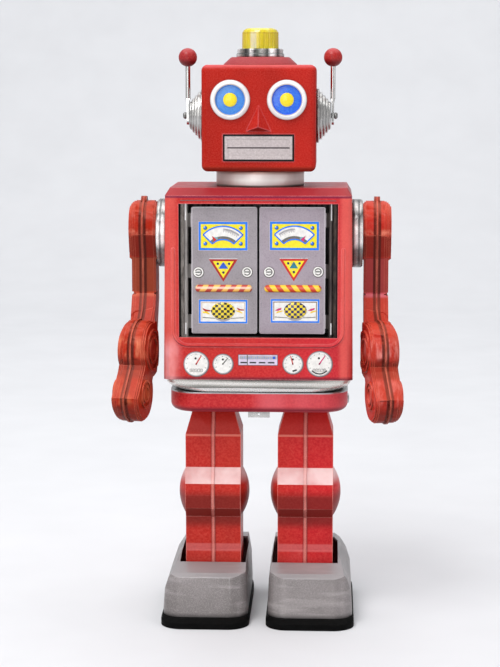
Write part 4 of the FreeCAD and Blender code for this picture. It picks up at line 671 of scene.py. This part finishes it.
def door_art_and_painted_light(s):
    """s = -1 left door, +1 right door, mirrored layout with its own colours."""
    P = PrintAndPaintedLight("door_graphics_" + ("left" if s < 0 else "right"), "door_l" if s < 0 else "door_r", -28.0)
    cx = -17.6 if s < 0 else 18.05
    dz = 0.0 if s < 0 else 0.2
    # thin dark outline of the door sheet
    xa, xb = (-33.5, -0.55) if s < 0 else (0.55, 33.5)
    # thin light lines along the door sheet's side edges and a silver line along its top edge: painted highlights on the
    # sheet's edges
    for (a, b) in (((xa + 0.15, 148.6), (xa + 0.15, 210.9)), ((xb - 0.15, 148.6), (xb - 0.15, 210.9))):
        P.line(a, b, 0.22, "lgrey")
    P.line((xa + 0.8, 211.4), (xb - 0.8, 211.4), 0.25, "silver")
    # meter panel
    P.rect(cx - 12.5, cx + 12.5, 189.65 + dz, 204.35 + dz, "tan")
    P.up()
    P.rect(cx - 12.25, cx + 12.25, 189.85 + dz, 204.15 + dz, "blue")
    P.up()
    P.rect(cx - 11.1, cx + 11.1, 191.05 + dz, 202.95 + dz, "yellow")
    P.up()
    # fan: outer arc peak 201.9, corners +-9.95 at 197.6; inner arc peak 195.3, corners +-5.3 at 193.1
    co, ro, ao = 188.35 + dz, 13.6, 47.0
    ci, ri, ai = 187.7 + dz, 7.6, 44.4
    o = arc_pts(cx, co, ro, 90 + ao, 90 - ao, 26)
    i = arc_pts(cx, ci, ri, 90 + ai, 90 - ai, 20)
    P.poly(o + i[::-1], "white")
    P.up()
    # dark band over the inner arc, brown below, grey above
    P.poly(arc_pts(cx, ci, ri + 0.1, 90 + ai + 1, 90 - ai - 1, 18) + arc_pts(cx, 187.0 + dz, 9.95, 50.5, 129.5, 18), "grey")
    P.up()
    P.poly(arc_pts(cx, ci, ri + 0.1, 90 + ai, 90 - ai, 18) + arc_pts(cx, 187.3 + dz, 8.75, 50, 130, 18), "brown")
    P.up()
    for pts in (o, i, [o[0], i[0]], [o[-1], i[-1]]):
        for a, b in zip(pts, pts[1:]):
            P.line(a, b, 0.72, "blue")
    for k in range(13):
        a = math.radians((88.5 - 3.1 * k) if s < 0 else (91.5 + 3.1 * k))
        r0, r1 = 10.5 + (0.5 if k % 2 else 0), 12.5
        P.line((cx + r0 * math.cos(a), co + r0 * math.sin(a)), (cx + r1 * math.cos(a), co + r1 * math.sin(a)), 0.26, "lgrey")
        a2 = a - math.radians(1.5)
        P.line((cx + 11.7 * math.cos(a2), co + 11.7 * math.sin(a2)), (cx + 12.3 * math.cos(a2), co + 12.3 * math.sin(a2)), 0.5, "lgrey")
    P.up()
    P.poly([(cx + s * 4.9, 196.6 + dz), (cx + s * 2.5, 196.3 + dz), (cx + s * 2.9, 194.9 + dz)], "sky")
    P.up()
    P.poly([(cx + s * 5.55, 197.1 + dz), (cx + s * 3.1, 195.3 + dz), (cx + s * 4.55, 194.1 + dz)], "red" if s < 0 else "magenta")
    for sx in (-1, 1):
        for zz in (201.1, 193.25):
            P.disc(cx + sx * 8.9, zz + dz, 0.98, "navy", 24)
    P.up()
    for sx in (-1, 1):
        for zz in (201.1, 193.25):
            P.disc(cx + sx * 8.9 - 0.12, zz + 0.12 + dz, 0.78, "blue", 24)
    P.up()
    for sx in (-1, 1):
        for zz in (201.1, 193.25):
            P.disc(cx + sx * 8.9 - 0.5, zz + 0.45 + dz, 0.3, "white", 14)
    # triangle sign
    P.layer = 0
    tx, tz = (-17.5, 0.0) if s < 0 else (17.75, 0.35)
    # painted highlight: silver line along the triangle's top edge
    P.line((tx - 7.1, 185.65 + tz), (tx + 7.1, 185.65 + tz), 0.5, "silver")
    P.up()
    P.poly([(tx - 7.25, 185.4 + tz), (tx + 7.25, 185.4 + tz), (tx, 174.1 + tz)], "dred" if s < 0 else "red")
    P.up()
    P.poly([(tx - 5.25, 184.4 + tz), (tx + 5.25, 184.4 + tz), (tx, 175.95 + tz)], "yellow")
    P.up()
    hw = 2.5 if s < 0 else 2.15
    P.poly([(tx - hw, 180.65 + tz), (tx + hw, 180.65 + tz), (tx, 184.1 + tz)], "rblue" if s < 0 else "teal")
    for (ax, az) in ((-2.75, 183.15), (2.9, 183.15), (0.05, 178.75)):
        P.disc(tx + ax, az + tz, 0.62, "navy", 20)
    for (a, b) in (((-2.85, 182.9), (2.85, 182.9)), ((2.85, 182.9), (0, 178.4)), ((0, 178.4), (-2.85, 182.9))):
        P.line((tx + a[0], a[1] + tz), (tx + b[0], b[1] + tz), 0.16, "tan")
    # knobs drawn as slotted discs
    for kx, kz in (((-30.0, 178.8), (-5.6, 179.05)) if s < 0 else ((5.35, 179.05), (29.9, 179.3))):
        P.layer = 0
        P.disc(kx + 0.08, kz - 0.1, 2.85, "dgrey", 36)
        P.up()
        P.disc(kx, kz, 2.5, "white", 36)
        P.up()
        P.ring(kx, kz, 1.3, 1.8, "dgrey", 215, 520, 28)
        P.rect(kx - 1.5, kx + 1.2, kz - 0.3, kz + 0.3, "grey")
        P.line((kx - 1.3, kz + 0.15), (kx + 1.1, kz + 0.15), 0.22, "sky" if kx < -20 else "lgrey")
    # lower panel with chequered dome
    P.layer = 0
    px = -17.65 if s < 0 else 18.5
    pz = 0.0 if s < 0 else 0.45
    P.rect(px - 12.4, px + 12.4, 152.85 + pz, 165.25 + pz, "tan")
    P.up()
    P.rect(px - 12.2, px + 12.2, 153.05 + pz, 165.05 + pz, "blue")
    P.up()
    P.rect(px - 11.3, px + 11.3, 153.95 + pz, 164.1 + pz, "white")
    P.up()
    for (a, b, w) in (((px - 10.7, 154.6 + pz), (px - 10.7, 163.6 + pz), 0.4), ((px + 10.7, 154.6 + pz), (px + 10.7, 163.6 + pz), 0.4), ((px - 10.9, 163.55 + pz), (px + 10.9, 163.55 + pz), 0.45)):
        P.line(a, b, w, "tan" if s < 0 else "brown")
    P.up()
    # ground line, shade under the dome
    for sx in (-1, 1):
        P.poly([(px + sx * 10.3, 156.2 + pz), (px + sx * 4.0, 155.75 + pz), (px + sx * 4.0, 155.45 + pz), (px + sx * 10.3, 155.8 + pz)], "grey")
    P.poly(arc_pts(px, 159.9 + pz, 5.9, 222, 318, 18) + [(px + 3.6, 155.6 + pz), (px, 155.2 + pz), (px - 3.6, 155.6 + pz)], "lgrey")
    P.up()
    if s < 0:
        bolts = (([(-10.4, 160.8), (-8.7, 160.1), (-6.3, 159.65), (-6.4, 159.1), (-8.9, 159.05), (-9.95, 159.8)], "dred"),
                 ([(-10.3, 159.05), (-8.2, 159.0), (-6.6, 157.9), (-7.0, 157.5), (-8.8, 158.2), (-10.2, 158.2)], "gold"),
                 ([(7.0, 161.1), (8.6, 160.3), (10.5, 160.1), (10.45, 159.6), (7.95, 159.6), (7.1, 160.5)], "dred"),
                 ([(6.2, 159.65), (7.95, 159.55), (9.85, 158.5), (9.5, 158.0), (7.8, 158.8), (6.5, 159.2)], "gold"))
    else:
        bolts = (([(-10.2, 159.25), (-8.5, 160.25), (-6.8, 160.65), (-7.0, 159.75), (-8.5, 159.1)], "magenta"),
                 ([(-9.8, 157.7), (-8.8, 158.85), (-6.2, 159.3), (-6.35, 158.8), (-8.5, 158.15)], "gold"),
                 ([(6.3, 159.25), (8.0, 160.25), (9.9, 160.65), (9.6, 159.75), (8.0, 159.1)], "magenta"),
                 ([(7.2, 157.85), (8.2, 158.9), (10.6, 159.4), (10.5, 158.85), (8.5, 158.2)], "gold"))
    for pts, ink in bolts:
        P.poly([(px + a, b + pz) for a, b in pts], ink)
    P.done()
    # raised chequered dome
    ex = -17.7 if s < 0 else 18.6
    ez = 159.35 if s < 0 else 159.75
    rx, rz, h = (6.05, 4.3, 1.15) if s < 0 else (5.7, 4.2, 1.15)
    bm = bmesh.new()
    rings, seg = 10, 48
    top = bm.verts.new((ex * MM, (-28.12 - h) * MM, ez * MM))
    prev = None
    for k in range(1, rings + 1):
        t = k / rings
        row = []
        for j in range(seg):
            a = 2 * math.pi * j / seg
            row.append(bm.verts.new(((ex + rx * t * math.cos(a)) * MM, (-28.12 - h * math.sqrt(max(0, 1 - t * t))) * MM, (ez + rz * t * math.sin(a)) * MM)))
        for j in range(seg):
            if prev is None:
                bm.faces.new((top, row[j], row[(j + 1) % seg]))
            else:
                bm.faces.new((prev[j], row[j], row[(j + 1) % seg], prev[(j + 1) % seg]))
        prev = row
    bmesh.ops.recalc_face_normals(bm, faces=bm.faces)
    me = bpy.data.meshes.new("dome_" + ("left" if s < 0 else "right"))
    bm.to_mesh(me)
    bm.free()
    for p in me.polygons:
        p.use_smooth = True
    o = bpy.data.objects.new(me.name, me)
    bpy.context.collection.objects.link(o)
    m = M("chequer_" + ("left" if s < 0 else "right"))
    w = 1.45 * MM
    a = m.math("FLOOR", m.math("DIVIDE", m.math("ADD", m.x(), 1.0 + (0.0003 if s < 0 else 0.0)), w))
    b = m.math("FLOOR", m.math("DIVIDE", m.math("ADD", m.z(), 0.0002), w * 0.92))
    par = m.math("GREATER_THAN", m.math("MODULO", m.math("ADD", a, b), 2.0), 0.5)
    c = m.mix(par, lin(24, 22, 20) if s < 0 else lin(24, 22, 88), m.mix(m.mapr(m.noise(600, 3), 0.3, 0.7), lin(228, 196, 22), lin(250, 228, 60)))
    m.col(c)
    m.rough(m.mapr(m.noise(300, 3), 0.3, 0.7, 0.2, 0.32))
    m.set(Coat_Weight=0.5)
    me.materials.append(m.mat)
    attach(o, "door_l" if s < 0 else "door_r")


door_art_and_painted_light(-1)
door_art_and_painted_light(1)

# gauges and strip on the lower front
G = PrintAndPaintedLight("gauge_graphics", "torso", -31.0)


def gauge(cx, cz, r, needle, ang, length, big, extra=None):
    G.layer = 0
    G.disc(cx + 0.12, cz - 0.1, r + 0.35, "rim", 60)
    G.up()
    G.disc(cx, cz, r, "lgrey", 60)
    G.up()
    G.disc(cx, cz, r - 0.45, "white", 60)
    G.up()
    G.ring(cx, cz, r - 1.25, r - 1.12, "silver", 20, 160, 30)
    for k in range(9):
        a = math.radians(205 - 28.5 * k)
        G.line((cx + (r - 1.5) * math.cos(a), cz + (r - 1.5) * math.sin(a)), (cx + (r - 0.85) * math.cos(a), cz + (r - 0.85) * math.sin(a)), 0.28 if k % 2 == 0 else 0.16, "grey")
    G.disc(cx - (0.3 if big else 0), cz + r * 0.46, 0.55, "black", 20)
    if big:
        for k in range(5):
            bx = cx - 2.7 + 1.35 * k
            zc = cz - r * 0.52
            G.rect(bx - 0.6, bx + 0.6, zc - 0.85, zc + 0.85, "rim", 0.35)
        G.up()
        for k, dch in enumerate("02570"):
            bx = cx - 2.7 + 1.35 * k
            zc = cz - r * 0.52
            G.rect(bx - 0.45, bx + 0.45, zc - 0.7, zc + 0.7, "white", 0.28)
        G.up()
        for k, dch in enumerate("02570"):
            bx = cx - 2.7 + 1.35 * k
            zc = cz - r * 0.52
            w, h = 0.22, 0.42
            seg = {"a": ((-w, h), (w, h)), "b": ((w, h), (w, 0)), "c": ((w, 0), (w, -h)), "d": ((-w, -h), (w, -h)), "e": ((-w, 0), (-w, -h)), "f": ((-w, h), (-w, 0)), "g": ((-w, 0), (w, 0))}
            for q in DIGITS[dch]:
                p0, p1 = seg[q]
                G.line((bx + p0[0], zc + p0[1]), (bx + p1[0], zc + p1[1]), 0.11, "rim")
    G.up()
    if extra == "arc":
        G.ring(cx, cz, r - 1.55, r - 0.95, "black", 222, 318, 24)
    if extra == "dash":
        G.line((cx - 0.1, cz - r * 0.74), (cx + 2.0, cz - r * 0.6), 0.85, "black")
    a = math.radians(ang)
    tip = (cx + length * math.cos(a), cz + length * math.sin(a))
    tail = (cx - 0.25 * math.cos(a), cz - 0.25 * math.sin(a))
    G.line(tail, tip, 0.62, needle, 0.42)
    G.disc(cx, cz, 0.42, needle, 18)


gauge(-31.1, 132.75, 6.2, "red", 58, 5.1, True)
gauge(-17.65, 132.85, 5.0, "grey", 50, 4.2, False)
gauge(17.5, 133.1, 5.0, "red", 106, 4.3, False, "dash")
gauge(30.85, 133.2, 6.3, "magenta", 56, 5.2, True, "arc")
G.layer = 0
G.rect(-10.0, 10.0, 132.15, 137.75, "rim", 0.25)
G.up()
G.rect(-9.7, 9.7, 132.45, 137.45, "lilac", 0.2)
G.up()
G.rect(-9.3, 9.3, 135.35, 136.95, "lgrey")
G.up()
for k in range(17):
    xk = -8.9 + 1.1 * k
    hh = 0.5 + 0.35 * (k % 3)
    G.line((xk, 135.6), (xk, 135.6 + hh), 0.18, "blue")
G.rect(7.4, 8.7, 135.5, 136.8, "rblue")
for k in range(4):
    xk = -8.8 + 4.6 * k
    G.rect(xk, xk + 3.3, 133.3, 134.0, "black", 0.2)
G.line((-5.3, 132.5), (-5.3, 137.4), 0.5, "grey")
# thin dark line over the window: painted shade along the groove there
G.line((-38.8, 214.95), (38.8, 214.95), 0.34, "rim")
G.done()

# ---------------------------------------------------------------- rounded edges on the sheet and moulded pieces
for n, w in (("torso_front_shell", 0.7), ("weapons_bay", 0.25), ("foot_left", 1.6), ("foot_right", 1.6), ("sole_left", 0.6), ("sole_right", 0.6),
             ("ear_cones", 0.8), ("shoulder_collars", 0.5), ("head_cap", 0.5), ("beacon_collar", 0.35), ("neck_collar", 0.3), ("under_latch", 0.2),
             ("mouth_plate", 0.25), ("winding_key", 0.35), ("stop_lever", 0.3), ("torso_back_cover", 0.3), ("pelvis_shell", 0.3)):
    soften(n, w)
for s in ("left", "right"):
    for h in ("inner", "outer"):
        soften("arm_%s_%s" % (s, h), 0.6)
        soften("leg_%s_%s" % (s, h), 0.6)

# ---------------------------------------------------------------- stage
def floor_piece():
    bm = bmesh.new()
    prof = [(-3.0, 0.0), (1.1, 0.0)]
    for k in range(1, 17):
        a = math.radians(90 * k / 16)
        prof.append((1.1 + 0.9 * math.sin(a), 0.9 - 0.9 * math.cos(a)))
    prof.append((2.0, 3.0))
    rows = []
    for y, z in prof:
        rows.append([bm.verts.new((x, y, z - 0.00002)) for x in (-3.0, -1.0, 1.0, 3.0)])
    for a, b in zip(rows, rows[1:]):
        for i in range(3):
            bm.faces.new((a[i], a[i + 1], b[i + 1], b[i]))
    me = bpy.data.meshes.new("backdrop")
    bm.to_mesh(me)
    bm.free()
    for p in me.polygons:
        p.use_smooth = True
    o = bpy.data.objects.new("backdrop", me)
    bpy.context.collection.objects.link(o)
    m = M("backdrop_paper")
    m.col(m.mix(m.mapr(m.noise(14, 2), 0.3, 0.7), lin(214, 215, 218), lin(218, 219, 222)))
    m.set(Roughness=0.9)
    me.materials.append(m.mat)


floor_piece()

# ---------------------------------------------------------------- camera and light
cam_d = bpy.data.cameras.new("camera")
cam = bpy.data.objects.new("camera", cam_d)
bpy.context.collection.objects.link(cam)
az, el, D = math.radians(2.5), math.radians(8.0), 0.95
tgt = Vector((-0.00535, 0.0, 0.14403))
cam.location = tgt + Vector((math.sin(az) * math.cos(el), -math.cos(az) * math.cos(el), math.sin(el))) * D
cam.rotation_euler = (tgt - cam.location).to_track_quat("-Z", "Y").to_euler()
cam_d.sensor_width = 36
cam_d.lens = 1833.3 * 36 / 667
cam_d.clip_start = 0.05
bpy.context.scene.camera = cam


def area(name, loc, target, size, power, color=(1, 1, 1), size_y=None):
    d = bpy.data.lights.new(name, "AREA")
    d.energy = power
    d.size = size
    if size_y:
        d.shape = "RECTANGLE"
        d.size_y = size_y
    d.color = color
    o = bpy.data.objects.new(name, d)
    o.location = loc
    o.rotation_euler = (Vector(target) - Vector(loc)).to_track_quat("-Z", "Y").to_euler()
    bpy.context.collection.objects.link(o)
    return o


area("key_top", (-0.30, -0.55, 1.15), (0, 0, 0.14), 0.55, 8.0, (1, 0.99, 0.98))
area("front_soft", (-0.30, -1.35, 0.55), (0, 0, 0.16), 0.6, 3.6, (1, 0.99, 0.98), 0.8)
area("fill_right", (1.0, -0.6, 0.40), (0, 0, 0.15), 0.4, 1.6, (1, 0.96, 0.98), 0.9)
area("fill_left", (-1.0, -0.45, 0.40), (0, 0, 0.15), 0.4, 1.1, (1, 0.98, 0.96), 0.9)
area("back_wash", (0.0, 0.75, 1.7), (0, 1.35, 0.0), 2.2, 27.0)
w = bpy.data.worlds.new("studio")
bpy.context.scene.world = w
w.use_nodes = True
bg = w.node_tree.nodes["Background"]
bg.inputs[0].default_value = (0.93, 0.94, 0.96, 1)
bg.inputs[1].default_value = 0.42
bpy.context.scene.view_settings.view_transform = "Standard"
